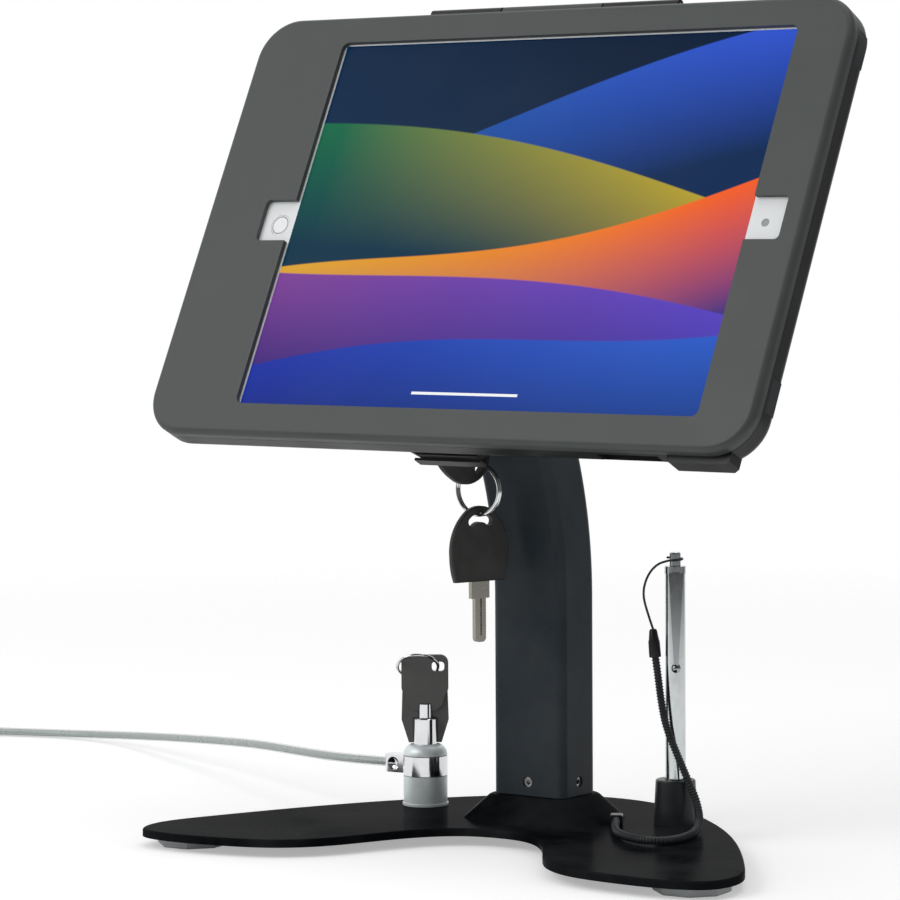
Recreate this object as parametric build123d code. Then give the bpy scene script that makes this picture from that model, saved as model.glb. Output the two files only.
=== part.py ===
from build123d import *
import math
import os

os.makedirs("parts", exist_ok=True)

# A counter-top kiosk stand that locks a tablet in a steel case on a curved column.
# Millimetres. The column stands on the origin, the floor is z = 0 and the screen faces -Y.
# The base plate, with all that stands on it, is turned a little under the column.

# Clearances and cuts
cut_overrun = 1.0
shaft_clearance = 0.05
moving_gap = 0.3
seat_gap = 0.1
touch_gap = 0.2

# Base plate and its pressed hub
base_turn = 5.33
plate_half_width = 124.0
plate_front = 103.0
plate_thickness = 3.0
plate_edge_round = 0.9
hub_height = 9.2
hub_foot_width = 62.0
hub_foot_depth = 52.0
hub_top_width = 38.0
hub_top_depth = 29.0
hub_wall = 3.0
hub_foot_corner = 22.0
hub_top_corner = 8.0
hub_top_round = 2.4
plate_outline_shares = [
    (0, 0.534), (0.169, 0.495), (0.435, 0.272), (0.669, -0.058), (0.831, -0.369), (0.944, -0.621),
    (1.0, -0.835), (0.968, -0.951), (0.871, -1.0), (0.677, -0.995), (0.5, -0.942), (0.387, -0.835),
    (0.306, -0.68), (0.21, -0.495), (0.097, -0.388), (0, -0.369),
]

# Feet
foot_height = 3.8
foot_flat = 26.0
foot_round = 0.6
front_foot_x = 106.0
front_foot_y = -84.0
rear_foot_y = 40.0

# Swivel post, its bolt and the bush in the foot of the column
post_radius = 7.4
post_height = 26.0
post_groove_radius = 6.4
post_groove_width = 5.0
post_round = 0.8
post_bolt_radius = 3.0
post_bolt_grip = 12.0
post_bolt_head_radius = 5.4
post_bolt_head_height = 3.2
post_bolt_socket = 2.4
bush_height = 27.0
set_screw_radius = 2.0
set_screw_height = 5.2
set_screw_recess = 0.8
set_screw_socket = 1.0

# Column tube
column_width = 32.7
column_depth = 23.3
column_corner = 3.5
column_wall = 2.0
column_straight_top = 93.0
column_bend_radius = 150.0
column_bend = 35.0

# Column head, tilt pin and arm
head_plug_depth = 10.0
head_plug_slack = 0.4
head_cap = 2.6
ear_inner = 10.5
ear_thickness = 4.0
ear_radius = 7.5
pivot_height = 13.0
pin_radius = 4.0
pin_head_radius = 6.4
pin_head_height = 3.2
pin_thread_length = 5.6
nut_flat = 12.6
nut_height = 4.2
tilt_washer_thickness = 0.8
tilt_washer_radius = 7.0
knuckle_radius = 6.5
arm_plate = 4.0
arm_rib = 3.4
arm_rib_height = 3.6
flange_radius = 22.0

# Case as a whole, seen in its own upright frame: x across, y from the screen backwards, z up
tilt_back = 26.71
pivot_back = 21.0
pivot_drop = 40.9
case_spare_width = 22.9
case_spare_height = 6.9
case_corner = 17.0
case_back = 12.3
case_wall = 1.5
case_floor = 1.8
case_rear_round = 4.0
seam = 2.8
frame_front = 2.2
frame_plate = 1.9
frame_edge_round = 2.4
display_shift = 10.46
case_shift = 0.7
window_rise = 0.5
tablet_drop = 0.7

# Window and the two notches at its ends
side_margin = 21.3
top_margin = 9.05
window_corner = 3.0
notch_reach = 14.4
notch_height = 17.6
notch_corner = 2.0

# Tablet
tablet_width = 250.6
tablet_height = 174.1
tablet_thickness = 7.5
tablet_corner = 14.0
tablet_edge_round = 2.4
tablet_floor = 1.0
glass_thickness = 0.8
screen_thickness = 1.2
button_radius = 4.3
button_thickness = 0.6
button_reach = 110.0
lens_radius = 1.5
lens_thickness = 0.4

# Wall windows, pads and the spacer beside the tablet
wall_window_length = 13.5
wall_window_upper_inset = 18.5
wall_window_lower_inset = 25.0
wall_window_front = 4.4
wall_window_back = 10.2
pad_length = 19.5
pad_flank = 1.0
speaker_gap_start = 72.0
speaker_gap_end = 98.0
bumper_length = 26.0
bumper_drop = 2.7
spacer_slot = 11.0
spacer_thickness = 6.0
backing_pad_size = 26.0
backing_pad_inset = 14.0

# Door hinge along the top edge
hinge_half_length = 57.0
hinge_knuckle_split = 23.7
hinge_radius = 2.3
hinge_pin_radius = 1.0
hinge_rise = 1.2
hinge_depth = 3.0
hinge_end_gap = 0.4

# Swivel plate between the arm and the case
rotary_radius = 30.0
rotary_plate = 2.5
friction_thickness = 0.4
friction_radius = 20.0
stud_radius = 5.0
stud_head_radius = 9.0
stud_head_thickness = 1.3
stud_washer_radius = 12.0
stud_washer_thickness = 1.2
stud_nut_flat = 15.0
stud_nut_height = 3.8
stud_tip = 0.8
plate_screw_radius = 1.6
plate_screw_head_radius = 3.2
plate_screw_circle = 26.5

# Case lock
lock_x = -8.0
lock_rise = 12.0
lock_radius = 7.0
plug_radius = 5.2
housing_left = -30.0
housing_right = 20.0
housing_step = 67.5
housing_top_rise = 25.5
housing_bottom_rise = 0.5
housing_ledge_rise = 5.7
housing_depth = 5.8
ledge_depth = 3.7
housing_slope_shares = [(0.0, 0.74), (0.34, 1.0), (0.88, 1.0), (1.0, 0.82)]
housing_chamfer = 2.4
lock_face_thickness = 1.6
lock_face_half = 9.2
lock_face_shift = 3.2
keeper_thickness = 1.0
keeper_width = 30.0
keeper_reach = 4.4
keeper_shift = 7.5
cam_thickness = 1.2
cam_length = 10.1
cam_width = 6.0
cam_depth = 0.5
cam_rest_turn = 12.0
tongue_width = 16.0
tongue_thickness = 0.8
tongue_clearance = 0.25

# Flat keys of the case lock and the ring that joins them
key_head_length = 28.7
key_head_width = 26.8
key_head_thickness = 2.6
key_head_round = 0.5
key_shoulder_width = 8.4
key_shoulder_length = 6.4
key_blade_width = 5.0
key_blade_length = 16.6
key_blade_thickness = 1.9
key_groove = 1.0
key_seated_depth = 7.4
key_slot_arch = 6.0
key_slot_height = 3.4
key_slot_half_angle = 42.0
key_slot_edge = 4.4
key_foot_share = (0.431, 0)
key_flare_share = (0.478, 0.15)
key_wide_share = (0.5, 0.35)
key_side_share = (0.444, 0.67)
key_dome_share = (0.29, 0.88)
ring_radius = 9.6
ring_wire = 0.65
ring_press_share = 0.85
ring_slide = 15.0
spare_key_turn = 72.0

# Cable lock on the left arm of the base
lock_base_x = -56.1
lock_base_y = 4.45
barrel_radius = 8.65
barrel_height = 24.2
barrel_shoulder = 4.7
barrel_rim = 0.4
barrel_rim_height = 0.9
barrel_bore = 4.85
barrel_key_depth = 12.0
collar_base = 11.9
collar_height = 7.6
collar_wall = 1.35
collar_arm_reach = 17.2
collar_arm_height = 7.0
collar_arm_width = 6.4
collar_dent_radius = 3.4
collar_dent_depth = 1.2
slot_length = 7.4
slot_width = 3.4
tee_length = 6.4
tee_width = 2.8
tee_height = 1.9
tee_stem = 1.3
tube_key_radius = 4.75
tube_key_bore = 3.4
tube_key_length = 10.0
tube_key_insert = 6.0
tube_key_stub_radius = 2.7
tube_key_stub_length = 5.5
tube_head_width = 18.5
tube_head_length = 22.0
tube_head_thickness = 2.6
tube_head_drop = 2.5
tube_head_corner = 3.2
tube_head_shares = [(0.5, 0.42), (0.44, 0.3), (0.38, 0.14), (0.27, 0.03), (0.15, 0)]
tube_slot_width = 4.9
tube_slot_height = 3.8
tube_slot_reach = 5.2
tube_slot_edge = 4.6
tube_ring_radius = 8.0
tube_ring_wire = 0.7
tube_ring_lean = 40.0
tube_head_turn = 30.5
tube_skirt_depth = 6.2
tube_skirt_shares = [(0.35, 0), (0.503, 0.415), (0.48, 1)]

# Security cable, with its put-away coil and end loop. The route is in millimetres on the floor plan.
cable_radius = 2.0
cable_first_run = 22.0
cable_route = [
    (-128.0, 9.5, 21.0), (-165.0, 29.5, 18.6), (-205.0, 52.5, 14.4), (-250.0, 74.5, 9.8),
    (-300.0, 99.0, 4.2), (-335.0, 101.0, 2.05), (-369.0, 88.5, 2.05), (-400.0, 75.0, 2.05),
]
bend_share = 0.45
coil_pitch = 4.5
coil_outer_radius = 29.0
coil_half_turns_in = 6
coil_half_turns_out = 7
tail_run = 8.0
tail_slope = 18.0
tail_end = 9.0
tail_drop = 3.55
eye_radius = 14.0
eye_strand = 2.25
eye_entry_radius = 22.0
ferrule_wall = 0.95
ferrule_length = 16.0
ferrule_round = 2.0

# Pen and its cup on the right arm of the base
cup_base_x = 52.07
cup_base_y = 9.05
cup_top_radius = 7.6
cup_foot_radius = 8.4
cup_height = 17.0
cup_floor = 3.0
cup_round = 0.8
cup_screw_radius = 1.6
cup_screw_head_radius = 3.0
cup_screw_head_height = 1.6
cup_screw_length = 5.4
pen_radius = 3.9
pen_top = 105.2
pen_collar_height = 2.9
pen_collar_radius = 4.1
pen_nub_radius = 2.2
pen_nub_height = 5.3
pen_tip_length = 9.0
pen_tip_radius = 0.8
clip_drop = 2.3
clip_length = 36.2
clip_top_width = 5.5
clip_foot_width = 1.7
clip_thickness = 0.7
clip_gap = 0.9
clip_ball_radius = 1.85
clip_turn = 30.5

# Tether from the base to the pen, in the base plate's own frame
tether_radius = 1.6
tether_route = [
    (35.34, -7.8, 8.7), (41.5, -20.5, 8.7), (49.0, -32.5, 8.7), (59.0, -40.3, 8.7), (68.5, -42.3, 8.7),
    (74.9, -36.0, 8.7), (75.2, -24.0, 8.7), (71.3, -10.5, 8.8), (67.2, -0.5, 11.0), (64.1, 3.0, 17.2),
    (60.0, 3.0, 25.6), (55.5, 3.0, 35.0), (51.4, 2.4, 44.4), (48.9, 3.2, 54.5), (47.2, 4.2, 63.5),
    (45.42, 5.13, 71.7),
]
cap_top = (44.8, 4.76, 81.2)
cap_radius = 2.3
cap_tip_radius = 1.45
string_radius = 0.45
string_route = [(42.6, 3.4, 88.8), (41.4, 2.8, 95.2), (43.0, 3.6, 101.6), (46.4, 5.0, 106.0)]
string_loop_rise = 2.7
anchor_length = 6.0
anchor_width = 5.0
anchor_height = 4.2
anchor_round = 0.8

# Places worked out from the sizes above
plate_bottom = foot_height
plate_top = plate_bottom + plate_thickness
hub_top = plate_top + hub_height
column_bottom = hub_top + moving_gap
bend = math.radians(column_bend)
column_end_y = -column_bend_radius * (1 - math.cos(bend))
column_end_z = column_straight_top + column_bend_radius * math.sin(bend)
column_end = Plane(
    origin=(0, column_end_y, column_end_z), x_dir=(1, 0, 0), z_dir=(0, -math.sin(bend), math.cos(bend))
)
pivot = column_end.from_local_coords((0, 0, pivot_height))
tilt = math.radians(tilt_back)
case_origin_y = pivot.Y - pivot_back * math.cos(tilt) + pivot_drop * math.sin(tilt)
case_origin_z = pivot.Z + pivot_back * math.sin(tilt) + pivot_drop * math.cos(tilt)
case_place = Location((0, case_origin_y, case_origin_z), (-tilt_back, 0, 0))
case_width = tablet_width + case_spare_width
case_height = tablet_height + case_spare_height
case_bottom = -case_height / 2
window_width = tablet_width - 2 * side_margin
window_height = tablet_height - 2 * top_margin
wall_windows = (case_height / 2 - wall_window_upper_inset, case_bottom + wall_window_lower_inset)
lock_z = case_bottom + lock_rise
housing_top = case_bottom + housing_top_rise
housing_bottom = case_bottom + housing_bottom_rise
housing_ledge = case_bottom + housing_ledge_rise
base_place = Location((0, 0, 0), (0, 0, base_turn))
rear_foot_place = base_place * Pos(0, rear_foot_y, 0)
stand_place = Pos(-rear_foot_place.position.X, -rear_foot_place.position.Y, 0)
floor_inside = case_back - case_floor
rotary_back = case_back + rotary_plate
flange_front = rotary_back + friction_thickness + seat_gap
flange_back = flange_front + arm_plate
housing_back = case_back + housing_depth
face_back = housing_back + lock_face_thickness
key_slot_centre = key_head_length - key_slot_edge
barrel_top = plate_top + barrel_height
tube_key_top = barrel_top + tube_key_length
tube_head_foot = tube_key_top + tube_key_stub_length - tube_head_drop


def block(x, y, z):
    """A box between two values on each axis."""
    size = [high - low for low, high in (x, y, z)]
    middle = [(high + low) / 2 for low, high in (x, y, z)]
    return Pos(*middle) * Box(*size)


def rod_x(radius, x, y, z):
    """A round bar along X between two values of x."""
    return Pos((x[0] + x[1]) / 2, y, z) * Rot(0, 90, 0) * Cylinder(radius, x[1] - x[0])


def rod_y(radius, x, y, z):
    """A round bar along Y between two values of y."""
    return Pos(x, (y[0] + y[1]) / 2, z) * Rot(90, 0, 0) * Cylinder(radius, y[1] - y[0])


def rod_z(radius, x, y, z):
    """A round bar along Z between two values of z."""
    return Pos(x, y, (z[0] + z[1]) / 2) * Cylinder(radius, z[1] - z[0])


def rounded_slab(width, height, corner, y, x=case_shift, z=0):
    """A plate with round corners that lies across Y between two values of y."""
    outline = RectangleRounded(width, height, corner)
    return Pos(x, y[1], z) * Rot(90, 0, 0) * extrude(outline, y[1] - y[0])


def hexagon_x(flat, x, y, z):
    """A hexagonal bar along X."""
    outline = RegularPolygon(flat / 2, 6, major_radius=False)
    return Pos(x[0], y, z) * Rot(0, 90, 0) * extrude(outline, x[1] - x[0])


def hexagon_y(flat, x, y, z):
    """A hexagonal bar along Y."""
    outline = RegularPolygon(flat / 2, 6, major_radius=False)
    return Pos(x, y[1], z) * Rot(90, 0, 0) * extrude(outline, y[1] - y[0])


def save(name, shape, place=None):
    """Write one sub-part, moved to its place on the stand, whose origin is under the rear foot."""
    moved = stand_place * place * shape if place is not None else stand_place * shape
    export_step(moved, f"parts/{name}.step")
    return moved


# Base

def plate_outline():
    """The boomerang outline of the base plate, from one half and its mirror image."""
    right = [(x * plate_half_width, y * plate_front) for x, y in plate_outline_shares]
    left = [(-x, y) for x, y in reversed(right[1:-1])]
    return make_face(Spline(*right, *left, periodic=True))


def hub_body(shrink, low, high):
    """The hub's tapered body, shrunk on each side by a wall."""
    foot = Pos(0, 0, low) * RectangleRounded(
        hub_foot_width - 2 * shrink, hub_foot_depth - 2 * shrink, hub_foot_corner - shrink
    )
    top = Pos(0, 0, high) * RectangleRounded(
        hub_top_width - 2 * shrink, hub_top_depth - 2 * shrink, hub_top_corner - shrink
    )
    return loft([foot, top])


def base_plate():
    sheet = Pos(0, 0, plate_bottom) * extrude(plate_outline(), plate_thickness)
    rims = sheet.edges().group_by(Axis.Z)
    sheet = fillet(rims[-1], plate_edge_round)
    hub = hub_body(0, plate_top - cut_overrun / 2, hub_top)
    hub = fillet(hub.edges().group_by(Axis.Z)[-1], hub_top_round)
    hollow = hub_body(hub_wall, plate_bottom - cut_overrun, hub_top - hub_wall)
    plate = sheet + hub - hollow
    plate -= rod_z(post_bolt_radius + seat_gap, 0, 0, (0, hub_top + cut_overrun))
    depth = (plate_bottom - cut_overrun, plate_top + cut_overrun)
    plate -= Pos(lock_base_x, lock_base_y, 0) * block(
        (-slot_length / 2, slot_length / 2), (-slot_width / 2, slot_width / 2), depth
    )
    plate -= rod_z(cup_screw_radius + seat_gap, cup_base_x, cup_base_y, depth)
    return plate


def foot(x, y):
    outline = Rot(0, 0, 22.5) * RegularPolygon(foot_flat / 2, 8, major_radius=False)
    pad = extrude(outline, foot_height)
    pad = chamfer(pad.edges().group_by(Axis.Z)[0], foot_round)
    return Pos(x, y, 0) * pad


def swivel_post():
    post = rod_z(post_radius, 0, 0, (hub_top, hub_top + post_height))
    post = chamfer(post.edges().group_by(Axis.Z)[-1], post_round)
    middle = hub_top + moving_gap + set_screw_height
    groove = (middle - post_groove_width / 2, middle + post_groove_width / 2)
    post -= rod_z(post_radius + cut_overrun, 0, 0, groove) - rod_z(post_groove_radius, 0, 0, groove)
    post -= rod_z(
        post_bolt_radius + shaft_clearance, 0, 0, (hub_top - cut_overrun, hub_top + post_bolt_grip)
    )
    return post


def post_bolt():
    seat = hub_top - hub_wall
    shank = rod_z(post_bolt_radius, 0, 0, (seat, hub_top + post_bolt_grip - touch_gap))
    head = rod_z(post_bolt_head_radius, 0, 0, (seat - post_bolt_head_height, seat))
    socket = extrude(RegularPolygon(post_bolt_socket, 6, major_radius=False), post_bolt_head_height / 2)
    return shank + head - Pos(0, 0, seat - post_bolt_head_height) * socket


# Column

def tube_section(width, depth, corner):
    return RectangleRounded(width, depth, corner)


def column_tube():
    outer = tube_section(column_width, column_depth, column_corner)
    inner = tube_section(
        column_width - 2 * column_wall, column_depth - 2 * column_wall, column_corner - column_wall
    )
    half = bend / 2
    middle = (
        0,
        -column_bend_radius * (1 - math.cos(half)),
        column_straight_top + column_bend_radius * math.sin(half),
    )
    foot_point = (0, 0, column_bottom)
    knee = (0, 0, column_straight_top)
    path = Line(foot_point, knee) + ThreePointArc(knee, middle, (0, column_end_y, column_end_z))
    tube = sweep(Pos(0, 0, column_bottom) * (outer - inner), path=path)
    height = column_bottom + set_screw_height
    tube -= rod_x(set_screw_radius + seat_gap, (-column_width, column_width), 0, height)
    tube -= rod_y(set_screw_radius + seat_gap, 0, (-column_depth, column_depth), height)
    return tube


def column_foot_bush():
    width = column_width - 2 * column_wall - 2 * seat_gap
    depth = column_depth - 2 * column_wall - 2 * seat_gap
    bush = Pos(0, 0, column_bottom) * extrude(Rectangle(width, depth), bush_height)
    bush = fillet(bush.edges().filter_by(Axis.Z), column_corner - column_wall)
    top = column_bottom + bush_height
    bush -= rod_z(post_radius + shaft_clearance, 0, 0, (column_bottom - cut_overrun, top + cut_overrun))
    height = column_bottom + set_screw_height
    bush -= rod_x(set_screw_radius + seat_gap, (-column_width, column_width), 0, height)
    bush -= rod_y(set_screw_radius + seat_gap, 0, (-column_depth, column_depth), height)
    return bush


def set_screws():
    height = column_bottom + set_screw_height
    tip = post_groove_radius + touch_gap
    screws = []
    for turn, reach in (
        (0, column_width / 2), (90, column_depth / 2), (180, column_width / 2), (270, column_depth / 2)
    ):
        outer_end = reach - set_screw_recess
        screw = rod_x(set_screw_radius, (tip, outer_end), 0, height)
        socket = extrude(RegularPolygon(set_screw_socket, 6, major_radius=False), set_screw_radius)
        screw -= Pos(outer_end - set_screw_radius, 0, height) * Rot(0, 90, 0) * socket
        screws.append(Rot(0, 0, turn) * screw)
    return Compound(children=screws)


def column_head():
    """The fork on the column's upper end, drawn on the end's own plane, with z along the tube."""
    width = column_width - 2 * column_wall - 2 * seat_gap
    depth = column_depth - 2 * column_wall - 2 * (seat_gap + head_plug_slack)
    plug = Pos(0, 0, -head_plug_depth) * extrude(Rectangle(width, depth), head_plug_depth)
    plug = fillet(plug.edges().filter_by(Axis.Z), column_corner - column_wall)
    cap = extrude(tube_section(column_width, column_depth, column_corner), head_cap)
    cap = fillet(cap.edges().group_by(Axis.Z)[-1], head_cap / 3)
    head = plug + cap
    for side in (-1, 1):
        inner = side * ear_inner
        outer = side * (ear_inner + ear_thickness)
        across = (min(inner, outer), max(inner, outer))
        ear = block(across, (-ear_radius, ear_radius), (head_cap / 2, pivot_height))
        head += ear + rod_x(ear_radius, across, 0, pivot_height)
    return head - rod_x(pin_radius + seat_gap, (-column_width, column_width), 0, pivot_height)


def tilt_pin():
    start = -(ear_inner + ear_thickness)
    end = ear_inner + ear_thickness
    shank = rod_x(pin_radius, (start, end), 0, pivot_height)
    thread = rod_x(pin_radius - touch_gap, (end, end + pin_thread_length), 0, pivot_height)
    head = rod_x(pin_head_radius, (start - pin_head_height, start), 0, pivot_height)
    head = fillet(head.edges().group_by(Axis.X)[0], pin_head_height / 4)
    socket = extrude(RegularPolygon(pin_radius / 2, 6, major_radius=False), pin_head_height / 2)
    return shank + thread + head - Pos(start - pin_head_height, 0, pivot_height) * Rot(0, 90, 0) * socket


def tilt_nut():
    start = ear_inner + ear_thickness
    nut = hexagon_x(nut_flat, (start, start + nut_height), 0, pivot_height)
    bore = rod_x(pin_radius, (start - cut_overrun, start + nut_height + cut_overrun), 0, pivot_height)
    return nut - bore


def tilt_washers():
    washers = []
    for side in (-1, 1):
        outer = side * ear_inner
        inner = side * (ear_inner - tilt_washer_thickness)
        across = (min(outer, inner), max(outer, inner))
        disc = rod_x(tilt_washer_radius, across, 0, pivot_height)
        washers.append(
            disc - rod_x(pin_radius + shaft_clearance, (-column_width, column_width), 0, pivot_height)
        )
    return Compound(children=washers)


# Arm and swivel, in the case's upright frame

def tilt_arm():
    half = ear_inner - tilt_washer_thickness - seat_gap
    knuckle = rod_x(knuckle_radius, (-half, half), pivot_back, -pivot_drop)
    web = block((-half, half), (flange_front, flange_back), (-pivot_drop, 0))
    flange = rod_y(flange_radius, 0, (flange_front, flange_back), 0)
    arm = knuckle + web + flange
    for side in (-1, 1):
        edge = side * half
        inner = side * (half - arm_rib)
        across = (min(edge, inner), max(edge, inner))
        arm += block(
            across, (flange_back - touch_gap, flange_back + arm_rib_height), (-pivot_drop, -flange_radius)
        )
    arm -= rod_x(pin_radius + shaft_clearance, (-column_width, column_width), pivot_back, -pivot_drop)
    arm -= rod_y(
        stud_radius + shaft_clearance, 0, (flange_front - cut_overrun, flange_back + cut_overrun), 0
    )
    return arm


def plate_screw_places():
    reach = plate_screw_circle * math.cos(math.pi / 4)
    return [(x, z) for x in (-reach, reach) for z in (-reach, reach)]


def screw_taper(x, z, grow):
    """The countersink of a plate screw, its wide end on the plate's back face."""
    low = plate_screw_radius + grow
    high = plate_screw_head_radius + grow
    cone = Cone(low, high, high - low)
    return Pos(x, rotary_back - (high - low) / 2, z) * Rot(-90, 0, 0) * cone


def rotary_disc():
    plate = rod_y(rotary_radius, 0, (case_back, rotary_back), 0)
    plate = chamfer(plate.edges().group_by(Axis.Y)[-1], plate_edge_round / 2)
    plate -= rod_y(stud_radius + seat_gap, 0, (case_back - cut_overrun, rotary_back + cut_overrun), 0)
    plate -= rod_y(
        stud_head_radius + seat_gap, 0, (case_back - cut_overrun, case_back + stud_head_thickness), 0
    )
    for x, z in plate_screw_places():
        plate -= rod_y(plate_screw_radius + seat_gap, x, (case_back - cut_overrun, rotary_back), z)
        plate -= screw_taper(x, z, seat_gap)
    return plate


def plate_screws():
    screws = []
    for x, z in plate_screw_places():
        shank = rod_y(plate_screw_radius, x, (floor_inside, rotary_back - touch_gap), z)
        screws.append(shank + screw_taper(x, z, 0))
    return Compound(children=screws)


def centre_stud():
    start = case_back
    end = flange_back + stud_washer_thickness + stud_nut_height + stud_tip
    shank = rod_y(stud_radius, 0, (start, end), 0)
    shank = chamfer(shank.edges().group_by(Axis.Y)[-1], stud_tip / 2)
    head = rod_y(stud_head_radius, 0, (start, start + stud_head_thickness - seat_gap), 0)
    return shank + head


def ring_y(radius, bore, y):
    return rod_y(radius, 0, y, 0) - rod_y(bore, 0, (y[0] - cut_overrun, y[1] + cut_overrun), 0)


def swivel_washers():
    """The friction washer before the arm and the steel washer behind it."""
    front = (rotary_back, rotary_back + friction_thickness)
    start = flange_back + seat_gap
    back = (start, start + stud_washer_thickness)
    bore = stud_radius + seat_gap
    return Compound(children=[ring_y(friction_radius, bore, front), ring_y(stud_washer_radius, bore, back)])


def stud_nut():
    start = flange_back + seat_gap + stud_washer_thickness
    span = (start, start + stud_nut_height)
    nut = hexagon_y(stud_nut_flat, 0, span, 0)
    return nut - rod_y(stud_radius + shaft_clearance, 0, (span[0] - cut_overrun, span[1] + cut_overrun), 0)


# Case

def hinge_z():
    return case_height / 2 + hinge_rise


def case_space(clearance):
    """The room inside the rear shell, less a clearance on every side."""
    wall = case_wall + clearance
    room = rounded_slab(
        case_width - 2 * wall, case_height - 2 * wall, case_corner - wall,
        (seam - cut_overrun, floor_inside - clearance),
    )
    return fillet(room.edges().group_by(Axis.Y)[-1], case_rear_round - wall)


def corner_bumper():
    """The thicker lip under the shell's lower right corner."""
    right = case_shift + case_width / 2 - case_corner / 2
    y = (seam, case_back - case_rear_round / 2)
    lip = block(
        (right - bumper_length, right), y, (case_bottom - bumper_drop, case_bottom + case_corner / 2)
    )
    return chamfer(lip.edges().filter_by(Axis.Y).group_by(Axis.Z)[0], bumper_drop / 2)


def rear_shell():
    outer = rounded_slab(case_width, case_height, case_corner, (seam, case_back))
    outer = fillet(outer.edges().group_by(Axis.Y)[-1], case_rear_round)
    outer += corner_bumper()
    shell = outer - case_space(0)
    for side in (-1, 1):
        inside = case_shift + side * (case_width / 2 - 2 * case_wall)
        outside = case_shift + side * (case_width / 2 + cut_overrun)
        across = (min(inside, outside), max(inside, outside))
        for z in wall_windows:
            half = wall_window_length / 2
            shell -= block(across, (wall_window_front, wall_window_back), (z - half, z + half))
    below = (case_bottom - cut_overrun - bumper_drop, case_bottom + 2 * case_wall)
    shell -= block((speaker_gap_start, speaker_gap_end), (seam + case_wall, floor_inside), below)
    for x, z in plate_screw_places():
        shell -= rod_y(
            plate_screw_radius + seat_gap, x, (floor_inside - cut_overrun, case_back + cut_overrun), z
        )
    shell -= rod_y(
        lock_radius + seat_gap, lock_x, (floor_inside - cut_overrun, case_back + cut_overrun), lock_z
    )
    across = (lock_x - tongue_width / 2 - moving_gap, lock_x + tongue_width / 2 + moving_gap)
    floor = case_bottom + case_wall
    shell -= block(across, (seam - cut_overrun, floor_inside), (floor, floor + case_rear_round))
    half = hinge_knuckle_split - hinge_end_gap
    behind = (seam - cut_overrun, hinge_depth + hinge_radius + moving_gap)
    shell -= block(
        (-half, half), behind, (case_height / 2 - case_wall - cut_overrun, case_height / 2 + cut_overrun)
    )
    return shell + hinge_knuckles((hinge_knuckle_split, hinge_half_length), seam)


def hinge_knuckles(span, root):
    """A pair of outer knuckles, or one centre knuckle where the span starts at zero."""
    knuckles = None
    starts = ((span[0], span[1]), (-span[1], -span[0])) if span[0] > 0 else ((-span[1], span[1]),)
    for across in starts:
        barrel = rod_x(hinge_radius, across, hinge_depth, hinge_z())
        low = case_height / 2 - case_wall
        side = (root, hinge_depth + hinge_radius) if span[0] > 0 else (hinge_depth - hinge_radius, root)
        leaf = block(across, side, (low, hinge_z()))
        knuckle = barrel + leaf
        knuckle -= rod_x(
            hinge_pin_radius + shaft_clearance, (-case_width, case_width), hinge_depth, hinge_z()
        )
        knuckles = knuckle if knuckles is None else knuckles + knuckle
    return knuckles


def hinge_pin():
    return rod_x(hinge_pin_radius, (-hinge_half_length, hinge_half_length), hinge_depth, hinge_z())


def notch(side):
    """The opening beside the window that shows the button or the camera."""
    edge = display_shift + side * window_width / 2
    far = edge + side * notch_reach
    across = (min(edge - side * cut_overrun, far), max(edge - side * cut_overrun, far))
    cutter = block(
        across, (-frame_front - cut_overrun, seam), (window_rise - notch_height / 2, window_rise + notch_height / 2)
    )
    far_edges = cutter.edges().filter_by(Axis.Y).sort_by(Axis.X)
    chosen = far_edges[-2:] if side > 0 else far_edges[:2]
    return fillet(chosen, notch_corner)


def front_frame():
    end = seam - touch_gap
    outer = rounded_slab(case_width, case_height, case_corner, (-frame_front, end))
    outer = fillet(outer.edges().group_by(Axis.Y)[0], frame_edge_round)
    inner = rounded_slab(
        case_width - 2 * case_wall, case_height - 2 * case_wall, case_corner - case_wall,
        (frame_plate - frame_front, end + cut_overrun),
    )
    frame = outer - inner
    frame -= rounded_slab(
        window_width, window_height, window_corner, (-frame_front - cut_overrun, seam), display_shift, window_rise
    )
    frame -= notch(-1)
    frame -= notch(1)
    reach = hinge_radius + moving_gap
    for side in (-1, 1):
        across = (hinge_knuckle_split - hinge_end_gap, hinge_half_length + hinge_end_gap)
        across = across if side > 0 else (-across[1], -across[0])
        frame -= rod_x(reach, across, hinge_depth, hinge_z())
        behind = (hinge_depth - reach, seam)
        frame -= block(
            across, behind, (case_height / 2 - case_wall - cut_overrun, case_height / 2 + cut_overrun)
        )
    half = hinge_knuckle_split - 2 * hinge_end_gap
    frame += hinge_knuckles((0, half), end - case_wall)
    return frame


def locking_tongue():
    """The steel tongue inside the door's lower edge, with the slot that the cam's tip turns into."""
    x = (lock_x - tongue_width / 2, lock_x + tongue_width / 2)
    floor = case_bottom + case_wall
    low = floor + tongue_clearance
    high = low + tongue_thickness
    root = block(x, (frame_plate - frame_front, seam - touch_gap), (floor, high))
    tongue = root + block(x, (seam - case_wall, floor_inside - touch_gap), (low, high))
    half = cam_width / 2 + 2 * moving_gap
    front = tablet_thickness + cam_depth - moving_gap
    tongue -= block((lock_x - half, lock_x + half), (front, front + cam_thickness + 2 * moving_gap),
                    (low - cut_overrun, high + cut_overrun))
    return tongue


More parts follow.
